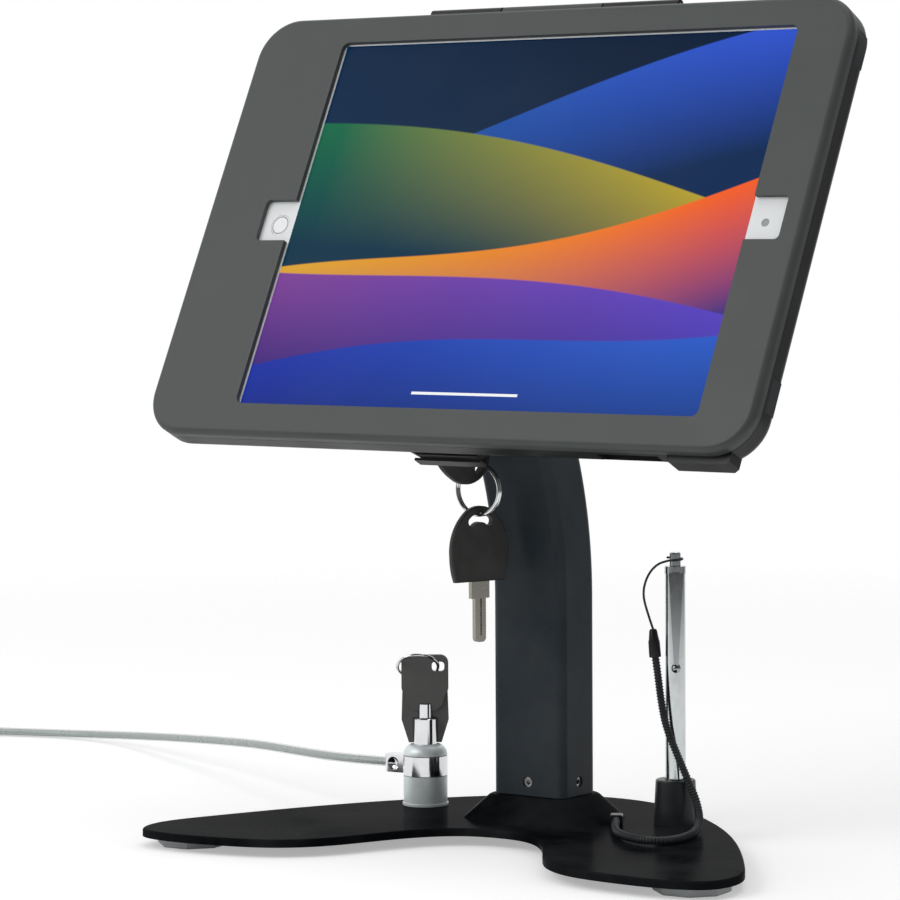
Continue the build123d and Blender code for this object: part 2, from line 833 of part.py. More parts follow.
def case_pads():
    """Rubber pads in the wall windows and soft squares behind the tablet."""
    pads = []
    low = wall_window_front + seat_gap
    high = wall_window_back - seat_gap
    half = wall_window_length / 2 - seat_gap
    right_outer = case_shift + case_width / 2 - seat_gap
    right_inner = display_shift + tablet_width / 2 + seat_gap
    left_outer = case_shift - case_width / 2 + seat_gap
    left_wall = left_outer + case_wall
    left_inner = left_wall + 2 * pad_flank
    skin = rounded_slab(
        case_width - 2 * seat_gap, case_height - 2 * seat_gap, case_corner - seat_gap, (seam, case_back)
    )
    for z in wall_windows:
        across = (z - half, z + half)
        pads.append(block((right_inner, right_outer), (low, high), across) & skin)
        nose = block((left_outer, left_outer + 2 * (case_wall - seat_gap)), (low, high), across) & skin
        wide = block((left_wall, left_inner), (low, high), (z - pad_length / 2, z + pad_length / 2))
        pads.append(nose + (wide & case_space(seat_gap)))
    return Compound(children=pads + backing_pads())


def backing_pads():
    """Foam squares between the tablet's back and the case floor."""
    pads = []
    half = backing_pad_size / 2
    reach_x = tablet_width / 2 - backing_pad_inset - half
    reach_z = tablet_height / 2 - backing_pad_inset - half
    depth = (tablet_thickness + seat_gap, floor_inside - seat_gap)
    for x in (display_shift - reach_x, display_shift + reach_x):
        for z in (-reach_z, reach_z):
            pads.append(block((x - half, x + half), depth, (z - half, z + half)))
    return pads


def cable_spacer():
    """The block that fills the case beside the tablet's port, with room for a charging plug."""
    left = case_shift - case_width / 2 + case_wall + pad_flank * 4
    right = display_shift - tablet_width / 2 - seat_gap
    half = case_height / 2 - case_wall - case_corner
    front = frame_plate - frame_front + touch_gap
    body = block((left, right), (front, floor_inside - seat_gap), (-half, half))
    slot = block(
        (left - cut_overrun, right + cut_overrun), (front - cut_overrun, spacer_thickness),
        (-spacer_slot / 2, spacer_slot / 2),
    )
    return body - slot


# Tablet, with its screen face at y = 0 of the case frame

def tablet_body():
    outer = rounded_slab(
        tablet_width, tablet_height, tablet_corner, (glass_thickness, tablet_thickness),
        display_shift, -tablet_drop,
    )
    outer = fillet(outer.edges().group_by(Axis.Y)[-1], tablet_edge_round)
    wall = tablet_floor
    inner = rounded_slab(
        tablet_width - 2 * wall, tablet_height - 2 * wall, tablet_corner - wall,
        (glass_thickness - cut_overrun, tablet_thickness - tablet_floor - tablet_edge_round),
        display_shift, -tablet_drop,
    )
    return outer - inner


def tablet_glass():
    glass = rounded_slab(
        tablet_width, tablet_height, tablet_corner, (0, glass_thickness), display_shift, -tablet_drop
    )
    glass = fillet(glass.edges().group_by(Axis.Y)[0], glass_thickness / 3)
    hole = button_radius + seat_gap
    through = (-cut_overrun, glass_thickness + cut_overrun)
    glass -= rod_y(hole, display_shift - button_reach, through, -tablet_drop)
    hole = lens_radius + seat_gap
    glass -= rod_y(hole, display_shift + button_reach, through, -tablet_drop)
    return glass


def screen_panel():
    front = glass_thickness + seat_gap
    span = (front, front + screen_thickness)
    return rounded_slab(window_width, window_height, window_corner, span, display_shift, window_rise)


def home_button():
    button = rod_y(button_radius, display_shift - button_reach, (0, button_thickness), -tablet_drop)
    return fillet(button.edges().group_by(Axis.Y)[0], button_thickness / 3)


def camera_lens():
    return rod_y(
        lens_radius, display_shift + button_reach, (touch_gap, touch_gap + lens_thickness), -tablet_drop
    )


# Case lock

def lock_housing():
    span = housing_right - housing_left
    fall = housing_top - housing_bottom
    lower = [(housing_left + x * span, housing_top - z * fall) for x, z in housing_slope_shares]
    outline = make_face(
        Polyline((housing_left, housing_top), *lower, (housing_right, housing_top), close=True)
    )
    bulge = Pos(0, housing_back, 0) * Rot(90, 0, 0) * extrude(outline, housing_depth)
    bulge = chamfer(bulge.edges().group_by(Axis.Y)[-1], housing_chamfer)
    ledge = block(
        (housing_right - housing_chamfer, housing_step), (case_back, case_back + ledge_depth),
        (housing_ledge, housing_top),
    )
    ledge = chamfer(ledge.edges().group_by(Axis.Y)[-1], housing_chamfer / 2)
    housing = bulge + ledge
    housing -= rod_y(
        lock_radius + seat_gap, lock_x, (case_back - cut_overrun, housing_back + cut_overrun), lock_z
    )
    return housing


def lock_barrel():
    """The fixed nickel barrel of the case lock, with its face plate."""
    body = rod_y(lock_radius, lock_x, (floor_inside - moving_gap, housing_back + touch_gap), lock_z)
    x = lock_x + lock_face_shift
    low = housing_bottom - seat_gap
    face = block(
        (x - lock_face_half, x + lock_face_half), (housing_back, face_back), (low, lock_z + lock_radius)
    )
    face = fillet(face.edges().group_by(Axis.Y)[-1], lock_face_thickness / 3)
    bore = (floor_inside - cut_overrun, face_back + cut_overrun)
    return body + face - rod_y(plug_radius + shaft_clearance, lock_x, bore, lock_z)


def keeper_plate():
    x = lock_x + keeper_shift
    half = keeper_width / 2
    top = housing_bottom - seat_gap
    return block((x - half, x + half), (face_back - keeper_reach, face_back), (top - keeper_thickness, top))


def cam_back():
    return tablet_thickness + cam_depth + cam_thickness


def lock_plug():
    """The plug that turns with the key."""
    plug = rod_y(plug_radius, lock_x, (cam_back(), face_back), lock_z)
    key_foot = face_back + moving_gap
    across = (lock_x - key_blade_thickness / 2 - seat_gap, lock_x + key_blade_thickness / 2 + seat_gap)
    for width, depth in ((key_blade_width, key_seated_depth), (key_shoulder_width, key_seated_depth / 2)):
        half = width / 2 + seat_gap
        plug -= block(across, (key_foot - depth - seat_gap, key_foot), (lock_z - half, lock_z + half))
    return plug


def lock_cam():
    """The cam on the plug's inner end; turning the key brings its tip down into the tongue's slot."""
    half = cam_width / 2
    y = (cam_back() - cam_thickness, cam_back())
    arm = block((0, cam_length - half), y, (-half, half))
    arm += rod_y(half, 0, y, 0) + rod_y(half, cam_length - half, y, 0)
    return Pos(lock_x, 0, lock_z) * Rot(0, cam_rest_turn, 0) * arm


# Keys of the case lock, drawn flat in XZ with the head's foot at the origin and its dome along +Z

def key_slot():
    """The arched slot near the top of the head, its two ends turned down."""
    start = 90 - key_slot_half_angle
    arc = CenterArc((0, 0), key_slot_arch, start, 2 * key_slot_half_angle)
    slot = SlotArc(arc, key_slot_height)
    z = key_slot_centre - key_slot_arch
    return Pos(0, key_head_thickness, z) * Rot(90, 0, 0) * extrude(slot, 2 * key_head_thickness)


def key_head():
    shares = (key_foot_share, key_flare_share, key_wide_share, key_side_share, key_dome_share)
    foot_end, flare, wide, side, dome = [(x * key_head_width, z * key_head_length) for x, z in shares]
    low = ThreePointArc(foot_end, flare, wide)
    high = ThreePointArc(wide, side, dome)
    top = ThreePointArc(dome, (0, key_head_length), (-dome[0], dome[1]))
    base = Line((-foot_end[0], 0), foot_end)
    outline = make_face([low, high, top, mirror(high, Plane.YZ), mirror(low, Plane.YZ), base])
    head = Pos(0, key_head_thickness / 2, 0) * Rot(90, 0, 0) * extrude(outline, key_head_thickness)
    head = chamfer(head.edges().group_by(Axis.Y)[0] + head.edges().group_by(Axis.Y)[-1], key_head_round)
    return head - key_slot()


def key_blade(length):
    """The metal blade below the head: a wide shoulder, then the bitted part with its groove."""
    half = key_blade_thickness / 2
    shoulder_end = -min(key_shoulder_length, length / 2)
    shoulder = block((-key_shoulder_width / 2, key_shoulder_width / 2), (-half, half), (shoulder_end, 0))
    blade = block((-key_blade_width / 2, key_blade_width / 2), (-half, half), (-length, shoulder_end / 2))
    blade = fillet(blade.edges().group_by(Axis.Z)[0].filter_by(Axis.Y), key_blade_width / 3)
    groove = block(
        (-key_groove / 2, key_groove / 2), (-half - cut_overrun, -half / 2),
        (-length + key_blade_width / 2, shoulder_end),
    )
    return shoulder + blade - groove


def case_key_plane():
    """Where the head's foot of the key in the lock lies, its dome pointing away from the case."""
    foot_y = face_back + moving_gap
    return Plane(origin=(lock_x, foot_y, lock_z), x_dir=(0, 0, 1), z_dir=(0, 1, 0))


def ring_top():
    """The middle of the ring's wire inside the slot of the key in the lock, in the world."""
    along = key_slot_centre - key_slot_arch * (1 - math.cos(math.radians(ring_slide)))
    across = -key_slot_arch * math.sin(math.radians(ring_slide))
    local = case_key_plane().from_local_coords((across, 0, along))
    return Vector((case_place * Pos(*local)).position)


def key_ring():
    """Two turns of wire pressed side by side."""
    centre = ring_top() - Vector(0, 0, ring_radius)
    apart = ring_wire * ring_press_share
    turns = [Pos(0, side * apart, 0) * Rot(90, 0, 0) * Torus(ring_radius, ring_wire) for side in (-1, 1)]
    return Pos(*centre) * (turns[0] + turns[1])


def spare_key_place():
    wire = ring_top() - Vector(0, 0, 2 * ring_radius)
    seat = key_slot_height / 2 - ring_wire - touch_gap
    return Location((wire.X, wire.Y, wire.Z - seat - key_slot_centre), (0, 0, spare_key_turn))


# Cable lock, in the base plate's own frame

def cable_lock_barrel():
    radius = barrel_radius
    shoulder = barrel_top - barrel_shoulder
    body = rod_z(radius, 0, 0, (plate_top, shoulder))
    dome = Pos(0, 0, shoulder + barrel_shoulder / 2) * Cylinder(radius, barrel_shoulder)
    dome = fillet(dome.edges().group_by(Axis.Z)[-1], barrel_shoulder - cut_overrun / 4)
    body += dome
    body += rod_z(radius + barrel_rim, 0, 0, (plate_top, plate_top + barrel_rim_height))
    low = plate_top + collar_base - moving_gap
    high = plate_top + collar_base + collar_height + moving_gap
    groove = radius - collar_wall
    body -= rod_z(radius + cut_overrun, 0, 0, (low, high)) - rod_z(
        groove, 0, 0, (low - cut_overrun, high + cut_overrun)
    )
    body -= rod_z(barrel_bore, 0, 0, (barrel_top - barrel_key_depth, barrel_top + cut_overrun))
    body -= rod_z(tee_stem + moving_gap, 0, 0, (plate_bottom, barrel_top))
    return Pos(lock_base_x, lock_base_y, 0) * body


def lock_collar():
    """The swivelling chrome collar with the arm that holds the cable's end."""
    low = plate_top + collar_base
    span = (low, low + collar_height)
    middle = low + collar_height / 2
    outer = barrel_radius + touch_gap
    collar = rod_z(outer, 0, 0, span)
    half_width = collar_arm_width / 2
    half_height = collar_arm_height / 2
    arm = block(
        (-collar_arm_reach, 0), (-half_width, half_width), (middle - half_height, middle + half_height)
    )
    arm = fillet(arm.edges().filter_by(Axis.Z).sort_by(Axis.X)[:2], half_width / 2)
    collar += arm
    collar -= rod_z(
        barrel_radius - collar_wall + shaft_clearance, 0, 0, (low - cut_overrun, low + 2 * collar_height)
    )
    face = -half_width - collar_dent_radius + collar_dent_depth
    x = -(barrel_radius + collar_arm_reach) / 2
    collar -= Pos(x, face, middle) * Sphere(collar_dent_radius)
    return Pos(lock_base_x, lock_base_y, 0) * collar


def tubular_key_tube():
    """The round tube of a cable-lock key, drawn about its own axis with its open end on z = 0."""
    length = tube_key_insert + tube_key_length
    tube = rod_z(tube_key_radius, 0, 0, (0, length)) - rod_z(
        tube_key_bore, 0, 0, (-cut_overrun, length / 2)
    )
    tube = chamfer(tube.edges().group_by(Axis.Z)[-1], moving_gap)
    return tube + rod_z(tube_key_stub_radius, 0, 0, (length - touch_gap, length + tube_key_stub_length))


def tubular_key_head():
    """The flat head, drawn facing -Y with its foot on the tube's own scale of height."""
    foot = tube_key_insert + tube_key_length + tube_key_stub_length - tube_head_drop
    side = [(x * tube_head_width, z * tube_head_length) for x, z in tube_head_shares]
    half_width = tube_head_width / 2
    corner = (half_width, tube_head_length)
    edge = Spline(*side, tangents=[(0, -1), (-1, -0.1)])
    closing = Polyline(side[-1], (0, 0), (0, tube_head_length), corner, side[0])
    half = make_face(edge + closing)
    outline = half + mirror(half, Plane.YZ)
    head = Pos(0, tube_head_thickness / 2, 0) * Rot(90, 0, 0) * extrude(outline, tube_head_thickness)
    top = head.edges().filter_by(Axis.Y).group_by(Axis.Z)[-1]
    head = fillet(top, tube_head_corner)
    slot = Pos(tube_slot_reach, tube_head_thickness, tube_head_length - tube_slot_edge) * Rot(90, 0, 0)
    head -= slot * extrude(RectangleRounded(tube_slot_width, tube_slot_height, tube_slot_height / 3),
                           2 * tube_head_thickness)
    head = Pos(0, 0, foot) * head + tubular_key_skirt(foot)
    head -= rod_z(tube_key_radius + seat_gap, 0, 0, (0, tube_key_insert + tube_key_length + seat_gap))
    return head - rod_z(tube_key_stub_radius + seat_gap, 0, 0, (0, foot + tube_head_drop + touch_gap))


def tubular_key_skirt(foot):
    """The tapered skirt behind the head, which reaches down behind the tube to the lock."""
    low = tube_key_insert + moving_gap
    height = foot + tube_head_shares[0][1] * tube_head_length - low
    right = [(x * tube_head_width, low + z * height) for x, z in tube_skirt_shares]
    left = [(-x, z) for x, z in reversed(right)]
    outline = make_face(Polyline(*right, *left, close=True))
    skirt = Pos(0, tube_skirt_depth, 0) * Rot(90, 0, 0) * extrude(outline, tube_skirt_depth)
    return chamfer(skirt.edges().group_by(Axis.Y)[-1], tube_skirt_depth / 6)


def tubular_key_place():
    z = barrel_top - tube_key_insert
    return Location((lock_base_x, lock_base_y, z), (0, 0, tube_head_turn))


def lock_tee():
    """The tee bar that turns under the plate, on its stem through the barrel."""
    stem = rod_z(tee_stem, 0, 0, (plate_bottom - seat_gap, barrel_top - tube_key_insert))
    top = plate_bottom - seat_gap
    half_length = tee_length / 2
    half_width = tee_width / 2
    bar = block((-half_width, half_width), (-half_length, half_length), (top - tee_height, top))
    return Pos(lock_base_x, lock_base_y, 0) * (stem + bar)


def cable_key_ring():
    """The ring through the slot of the key in the cable lock, its front raised."""
    slot_z = tube_head_foot + tube_head_length - tube_slot_edge
    x = tube_slot_reach - tube_ring_radius
    ring = Pos(x, 0, slot_z) * Rot(-tube_ring_lean, 0, 0) * Torus(tube_ring_radius, tube_ring_wire)
    return Location((lock_base_x, lock_base_y, 0), (0, 0, tube_head_turn)) * ring


# Security cable

def turning_radii(points, share):
    """A bend radius for each inner point, as large as its shorter run allows."""
    radii = []
    for before, here, after in zip(points, points[1:], points[2:]):
        first = Vector(*here) - Vector(*before)
        second = Vector(*after) - Vector(*here)
        turn = math.radians(first.get_angle(second))
        radii.append(share * min(first.length, second.length) / math.tan(turn / 2))
    return radii


def tube_along(points, radius):
    """A round tube along straight runs joined by tangent arcs."""
    radii = turning_radii(points, bend_share)
    path = FilletPolyline(*points, radius=radii)
    print("bend radii", [round(value, 1) for value in radii])
    section = Plane(origin=path @ 0, z_dir=path % 0) * Circle(radius)
    return sweep(section, path=path), path.length


def cable_points():
    """The free run of the cable, from the collar's arm to the coil."""
    turn = math.radians(base_turn)
    middle = plate_top + collar_base + collar_height / 2
    reach = lock_base_x - collar_arm_reach
    start = (
        reach * math.cos(turn) - lock_base_y * math.sin(turn),
        reach * math.sin(turn) + lock_base_y * math.cos(turn),
        middle,
    )
    second = (
        start[0] - cable_first_run * math.cos(turn), start[1] - cable_first_run * math.sin(turn), middle
    )
    return [start, second] + cable_route


def coil_plane():
    points = cable_points()
    heading = Vector(*points[-1]) - Vector(*points[-2])
    return Plane(origin=points[-1], x_dir=heading, z_dir=(0, 0, 1))


def half_turn(start, radius, heading):
    """Half a circle that turns left, in the coil's plan, from a start heading along +X or -X."""
    x, y, z = start
    middle = (x + heading * radius, y + heading * radius, z)
    end = (x, y + 2 * heading * radius, z)
    return ThreePointArc(start, middle, end), end


def coil_curve():
    """Loops that wind inwards on the floor, climb half a turn and wind outwards on top."""
    lead = 2 * cable_radius
    edges = [Line((0, 0, 0), (lead, 0, 0))]
    here = (lead, 0, 0)
    heading = 1
    radius = coil_outer_radius
    for _ in range(coil_half_turns_in):
        arc, here = half_turn(here, radius, heading)
        edges.append(arc)
        heading = -heading
        radius -= coil_pitch / 2
    x, y, z = here
    rise = coil_pitch
    reach = math.sqrt(radius**2 + (rise / 2) ** 2)
    middle = (x + heading * reach, y + heading * radius, z + rise / 2)
    end = (x, y + 2 * heading * radius, z + rise)
    edges.append(TangentArc(here, middle, tangent=(heading, 0, 0)))
    edges.append(TangentArc(middle, end, tangent=edges[-1] % 1))
    here = end
    heading = -heading
    for _ in range(coil_half_turns_out):
        radius += coil_pitch / 2
        arc, here = half_turn(here, radius, heading)
        edges.append(arc)
        heading = -heading
    edges.append(Line(here, (here[0] + lead, here[1], here[2])))
    return Wire([edge.edge() for edge in edges])


def least_gap(wire, diameter, step):
    """The least distance between two stretches of a wound tube, measured on points."""
    count = int(wire.length / step)
    points = [wire @ (index / count) for index in range(count + 1)]
    apart = int(math.pi * diameter / step) + 1
    nearest = min(
        (first - second).length
        for index, first in enumerate(points) for second in points[index + apart:]
    )
    return nearest - diameter


def wound_part():
    wire = coil_curve()
    section = Plane(origin=wire @ 0, z_dir=wire % 0) * Circle(cable_radius)
    coil = sweep(section, path=wire)
    ideal = math.pi * cable_radius**2 * wire.length
    print("coil length", round(wire.length, 1), "volume share", round(coil.volume / ideal, 4))
    print("least gap in the coil", round(least_gap(wire, 2 * cable_radius, cable_radius), 2))
    return coil_plane().location * coil


def tail_plane():
    """Where the cable leaves the coil's upper layer."""
    wire = coil_curve()
    local = wire @ 1
    return Plane(coil_plane().location * Location((local.X, local.Y, local.Z)))


def cable_tail():
    """The short run from the coil's upper layer down to the ferrule."""
    points = [
        (0, 0, 0), (tail_run, 0, 0), (tail_run + tail_slope, 0, -tail_drop),
        (tail_run + tail_slope + tail_end, 0, -tail_drop),
    ]
    tail, _ = tube_along(points, cable_radius)
    return tail_plane().location * tail


def cable_coil():
    """The put-away coil and its tail, in one unbroken piece."""
    return wound_part() + cable_tail()


def eye_ferrule():
    start = tail_run + tail_slope + tail_end
    half_width = eye_strand + cable_radius + ferrule_wall
    half_height = cable_radius + ferrule_wall
    body = block((start, start + ferrule_length), (-half_width, half_width), (-half_height, half_height))
    body = fillet(body.edges().filter_by(Axis.X), ferrule_round)
    return tail_plane().location * Pos(0, 0, -tail_drop) * body


def cable_eye():
    """The loop at the cable's end, drawn from one strand round to the other."""
    lead = 2 * cable_radius
    entry = eye_entry_radius
    spread = entry + eye_strand
    reach = math.sqrt((entry + eye_radius) ** 2 - spread**2)
    share = entry / (entry + eye_radius)
    touch = (lead + reach * share, spread * (1 - share))
    far = (lead + reach + eye_radius, 0)
    first = Line((0, eye_strand), (lead, eye_strand))
    bend_out = TangentArc((lead, eye_strand), touch, tangent=(1, 0))
    around = TangentArc(touch, far, tangent=bend_out % 1)
    upper = [first, bend_out, around]
    lower = [mirror(curve, Plane.XZ) for curve in upper]
    wire = Wire([curve.edge() for curve in upper + lower])
    section = Plane(origin=first @ 0, z_dir=(1, 0, 0)) * Circle(cable_radius)
    eye = sweep(section, path=wire)
    start = tail_run + tail_slope + tail_end + ferrule_length
    return tail_plane().location * Pos(start, 0, -tail_drop) * eye


# Pen, its cup and the tether, in the base plate's own frame

def pen_cup():
    top = plate_top + cup_height
    outer = Pos(0, 0, plate_top + cup_height / 2) * Cone(cup_foot_radius, cup_top_radius, cup_height)
    outer = fillet(outer.edges().group_by(Axis.Z)[-1], cup_round)
    cup = outer - rod_z(pen_radius + moving_gap, 0, 0, (plate_top + cup_floor, top + cut_overrun))
    cup -= rod_z(cup_screw_radius, 0, 0, (plate_top - cut_overrun, plate_top + cup_floor + cut_overrun))
    return Pos(cup_base_x, cup_base_y, 0) * cup


def cup_screw():
    shank = rod_z(cup_screw_radius - shaft_clearance, 0, 0, (plate_bottom, plate_bottom + cup_screw_length))
    head = rod_z(cup_screw_head_radius, 0, 0, (plate_bottom - cup_screw_head_height, plate_bottom))
    return Pos(cup_base_x, cup_base_y, 0) * (shank + head)


def pen_barrel():
    low = plate_top + cup_floor + touch_gap
    tip = low + pen_tip_length
    barrel = rod_z(pen_radius, 0, 0, (tip, pen_top))
    barrel += Pos(0, 0, (low + tip) / 2) * Cone(pen_tip_radius, pen_radius, pen_tip_length)
    return Pos(cup_base_x, cup_base_y, 0) * (
        barrel - rod_z(pen_radius, 0, 0, (pen_top - pen_collar_height, pen_top))
    )


def pen_cap():
    """The bright collar at the pen's upper end, with the nub that the tether is tied to."""
    collar = rod_z(pen_collar_radius, 0, 0, (pen_top - pen_collar_height, pen_top))
    nub = rod_z(pen_nub_radius, 0, 0, (pen_top, pen_top + pen_nub_height))
    nub = fillet(nub.edges().group_by(Axis.Z)[-1], pen_nub_radius / 3)
    return Pos(cup_base_x, cup_base_y, 0) * (collar + nub)


def pen_clip():
    """A tapered spring strip with a ball at its foot, drawn facing -Y."""
    top = pen_top - clip_drop
    low = top - clip_length
    inner = -pen_collar_radius - clip_gap
    upper = [(-clip_top_width / 2, top), (clip_top_width / 2, top)]
    lower = [(clip_foot_width / 2, low), (-clip_foot_width / 2, low)]
    outline = make_face(Polyline(*upper, *lower, close=True))
    strip = Pos(0, inner, 0) * Rot(90, 0, 0) * extrude(outline, clip_thickness)
    link = block((-clip_foot_width, clip_foot_width), (inner, -pen_collar_radius),
                 (top - pen_collar_height / 2, top))
    ball = Pos(0, inner + clip_thickness / 2, low) * Sphere(clip_ball_radius)
    ball -= rod_z(pen_radius + seat_gap, 0, 0, (low - clip_length, low + clip_length))
    clip = strip + link + ball
    return Location((cup_base_x, cup_base_y, 0), (0, 0, clip_turn)) * clip


def tether_anchor():
    start = Vector(*tether_route[0])
    along = Vector(*tether_route[1]) - start
    body = block((-anchor_length, 0), (-anchor_width / 2, anchor_width / 2), (0, anchor_height))
    body = fillet(body.edges().group_by(Axis.Z)[-1], anchor_round)
    angle = math.degrees(math.atan2(along.Y, along.X))
    return Location((start.X, start.Y, plate_top), (0, 0, angle)) * body


def tether_sheath():
    sheath, length = tube_along(tether_route, tether_radius)
    ideal = math.pi * tether_radius**2 * length
    print("tether length", round(length, 1), "volume share", round(sheath.volume / ideal, 4))
    return sheath


def tether_cap():
    start = Vector(*tether_route[-1])
    along = start - Vector(*tether_route[-2])
    length = (Vector(*cap_top) - start).length
    plane = Plane(origin=start, z_dir=along)
    return plane.location * Pos(0, 0, length / 2) * Cone(cap_radius, cap_tip_radius, length)


def string_start():
    start = Vector(*tether_route[-1])
    along = (start - Vector(*tether_route[-2])).normalized()
    length = (Vector(*cap_top) - start).length
    return start + along * length, along


def tether_string():
    """The thin cord from the cap, ending in a loop round the pen's nub."""
    start, along = string_start()
    loop_radius = pen_nub_radius + string_radius + seat_gap
    loop_z = pen_top + string_loop_rise
    last = Vector(*string_route[-1])
    away = Vector(last.X - cup_base_x, last.Y - cup_base_y, 0).normalized()
    end = Vector(cup_base_x, cup_base_y, loop_z) + away * loop_radius
    points = [start, start + along * string_radius * 4] + [Vector(*point) for point in string_route] + [end]
    cord, _ = tube_along([tuple(point) for point in points], string_radius)
    return cord + Pos(cup_base_x, cup_base_y, loop_z) * Torus(loop_radius, string_radius)


def front_feet():
    return Compound(children=[foot(-front_foot_x, front_foot_y), foot(front_foot_x, front_foot_y)])


def rear_foot():
    return foot(0, rear_foot_y)


def security_cable():
    return tube_along(cable_points(), cable_radius)[0]


base_makers = (
    front_feet, rear_foot, base_plate, cable_lock_barrel, lock_collar, lock_tee, cable_key_ring, pen_cup,
    cup_screw, pen_barrel, pen_cap, pen_clip, tether_anchor, tether_sheath, tether_cap, tether_string,
)
world_makers = (
    swivel_post, post_bolt, column_tube, column_foot_bush, set_screws, key_ring, security_cable, cable_coil,
    eye_ferrule, cable_eye,
)
head_makers = (column_head, tilt_pin, tilt_nut, tilt_washers)
case_makers = (
    tilt_arm, rotary_disc, plate_screws, centre_stud, swivel_washers, stud_nut, rear_shell, hinge_pin,
    front_frame, locking_tongue, case_pads, cable_spacer, tablet_body, tablet_glass, screen_panel,
    home_button, camera_lens, lock_housing, lock_barrel, keeper_plate, lock_plug, lock_cam,
)
for makers, place in (
    (base_makers, base_place), (world_makers, None),
    (head_makers, column_end.location), (case_makers, case_place),
):
    for maker in makers:
        save(maker.__name__, maker(), place)
for name, maker in (("cable_key_tube", tubular_key_tube), ("cable_key_head", tubular_key_head)):
    save(name, maker(), base_place * tubular_key_place())
key_place = case_place * case_key_plane().location
save("case_key_head", key_head(), key_place)
save("case_key_blade", key_blade(key_seated_depth), key_place)
save("spare_key_head", key_head(), spare_key_place())
save("spare_key_blade", key_blade(key_shoulder_length + key_blade_length), spare_key_place())
print("tilt pivot", pivot, "case origin", round(case_origin_y, 3), round(case_origin_z, 3))
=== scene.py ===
import math

import bmesh
import bpy
from bpy.props import FloatProperty, FloatVectorProperty, IntProperty, PointerProperty
from mathutils import Matrix, Vector


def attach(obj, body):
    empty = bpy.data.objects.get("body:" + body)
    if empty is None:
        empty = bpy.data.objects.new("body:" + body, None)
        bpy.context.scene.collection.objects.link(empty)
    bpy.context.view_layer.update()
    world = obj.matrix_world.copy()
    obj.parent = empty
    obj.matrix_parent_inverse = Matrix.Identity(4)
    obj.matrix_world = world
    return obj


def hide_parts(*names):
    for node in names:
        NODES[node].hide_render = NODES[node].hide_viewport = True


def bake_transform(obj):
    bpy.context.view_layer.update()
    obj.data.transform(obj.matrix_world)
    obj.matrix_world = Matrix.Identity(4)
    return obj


bl_info = {
    "name": "Tablet kiosk stand",
    "version": (1, 0, 0),
    "blender": (4, 5, 0),
    "location": "View3D > Sidebar > Kiosk",
    "description": "Dresses a locking tablet kiosk stand: finishes, cables and small pieces",
    "category": "Object",
}

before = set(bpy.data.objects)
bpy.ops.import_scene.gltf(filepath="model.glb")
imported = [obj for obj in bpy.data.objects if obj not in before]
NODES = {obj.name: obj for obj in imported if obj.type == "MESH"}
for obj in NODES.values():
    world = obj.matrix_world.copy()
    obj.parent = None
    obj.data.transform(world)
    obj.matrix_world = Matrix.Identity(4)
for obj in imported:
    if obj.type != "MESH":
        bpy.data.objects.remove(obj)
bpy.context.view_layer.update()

# The case stands in its own upright frame: x across, y from the screen backwards, z up the screen.
# Its place in the world comes from the same driving sizes as the part's source, in metres.
MM = 0.001
TILT_BACK = math.radians(26.71)
COLUMN_BEND = math.radians(35.0)
COLUMN_BEND_RADIUS = 150.0 * MM
COLUMN_STRAIGHT_TOP = 93.0 * MM
PIVOT_HEIGHT = 13.0 * MM
PIVOT_BACK = 21.0 * MM
PIVOT_DROP = 40.9 * MM
BASE_TURN = math.radians(5.33)
COLUMN_END_Y = -COLUMN_BEND_RADIUS * (1 - math.cos(COLUMN_BEND))
COLUMN_END_Z = COLUMN_STRAIGHT_TOP + COLUMN_BEND_RADIUS * math.sin(COLUMN_BEND)
PIVOT = Vector((
    0.0,
    COLUMN_END_Y - PIVOT_HEIGHT * math.sin(COLUMN_BEND),
    COLUMN_END_Z + PIVOT_HEIGHT * math.cos(COLUMN_BEND),
))
REAR_FOOT = 40.0 * MM
STAND_PLACE = Matrix.Translation((
    REAR_FOOT * math.sin(BASE_TURN), -REAR_FOOT * math.cos(BASE_TURN), 0.0,
))
CASE_TURN = Matrix.Rotation(-TILT_BACK, 4, "X")
CASE_PLACE = (
    STAND_PLACE
    @ Matrix.Translation(PIVOT - CASE_TURN @ Vector((0.0, PIVOT_BACK, -PIVOT_DROP)))
    @ CASE_TURN
)
BASE_PLACE = STAND_PLACE @ Matrix.Rotation(BASE_TURN, 4, "Z")
CUP_CENTRE = (52.07 * MM, 9.05 * MM)
LOCK_CENTRE = (-56.1 * MM, 4.45 * MM)

# The security cable, as in the part's source, in metres
CABLE_RADIUS = 2.0 * MM
CABLE_ROUTE = [
    (-0.128, 0.0095, 0.021), (-0.165, 0.0295, 0.0186), (-0.205, 0.0525, 0.0144),
    (-0.25, 0.0745, 0.0098), (-0.3, 0.099, 0.0042), (-0.335, 0.101, 0.00205),
    (-0.369, 0.0885, 0.00205), (-0.4, 0.075, 0.00205),
]
CABLE_ARM_REACH = 17.2 * MM
CABLE_FIRST_RUN = 22.0 * MM
CABLE_HEIGHT = 22.5 * MM
CABLE_LEAD = 2 * CABLE_RADIUS
COIL_PITCH = 4.5 * MM
COIL_OUTER_RADIUS = 29.0 * MM
COIL_HALF_TURNS_IN = 6
COIL_HALF_TURNS_OUT = 7
COIL_POINTS_PER_HALF = 8
TAIL_RUN = 8.0 * MM
TAIL_SLOPE = 18.0 * MM
TAIL_END = 9.0 * MM
TAIL_DROP = 3.55 * MM
FERRULE_LENGTH = 16.0 * MM
EYE_RADIUS = 14.0 * MM
EYE_STRAND = 2.25 * MM
EYE_ENTRY_RADIUS = 22.0 * MM
EYE_POINTS = 10

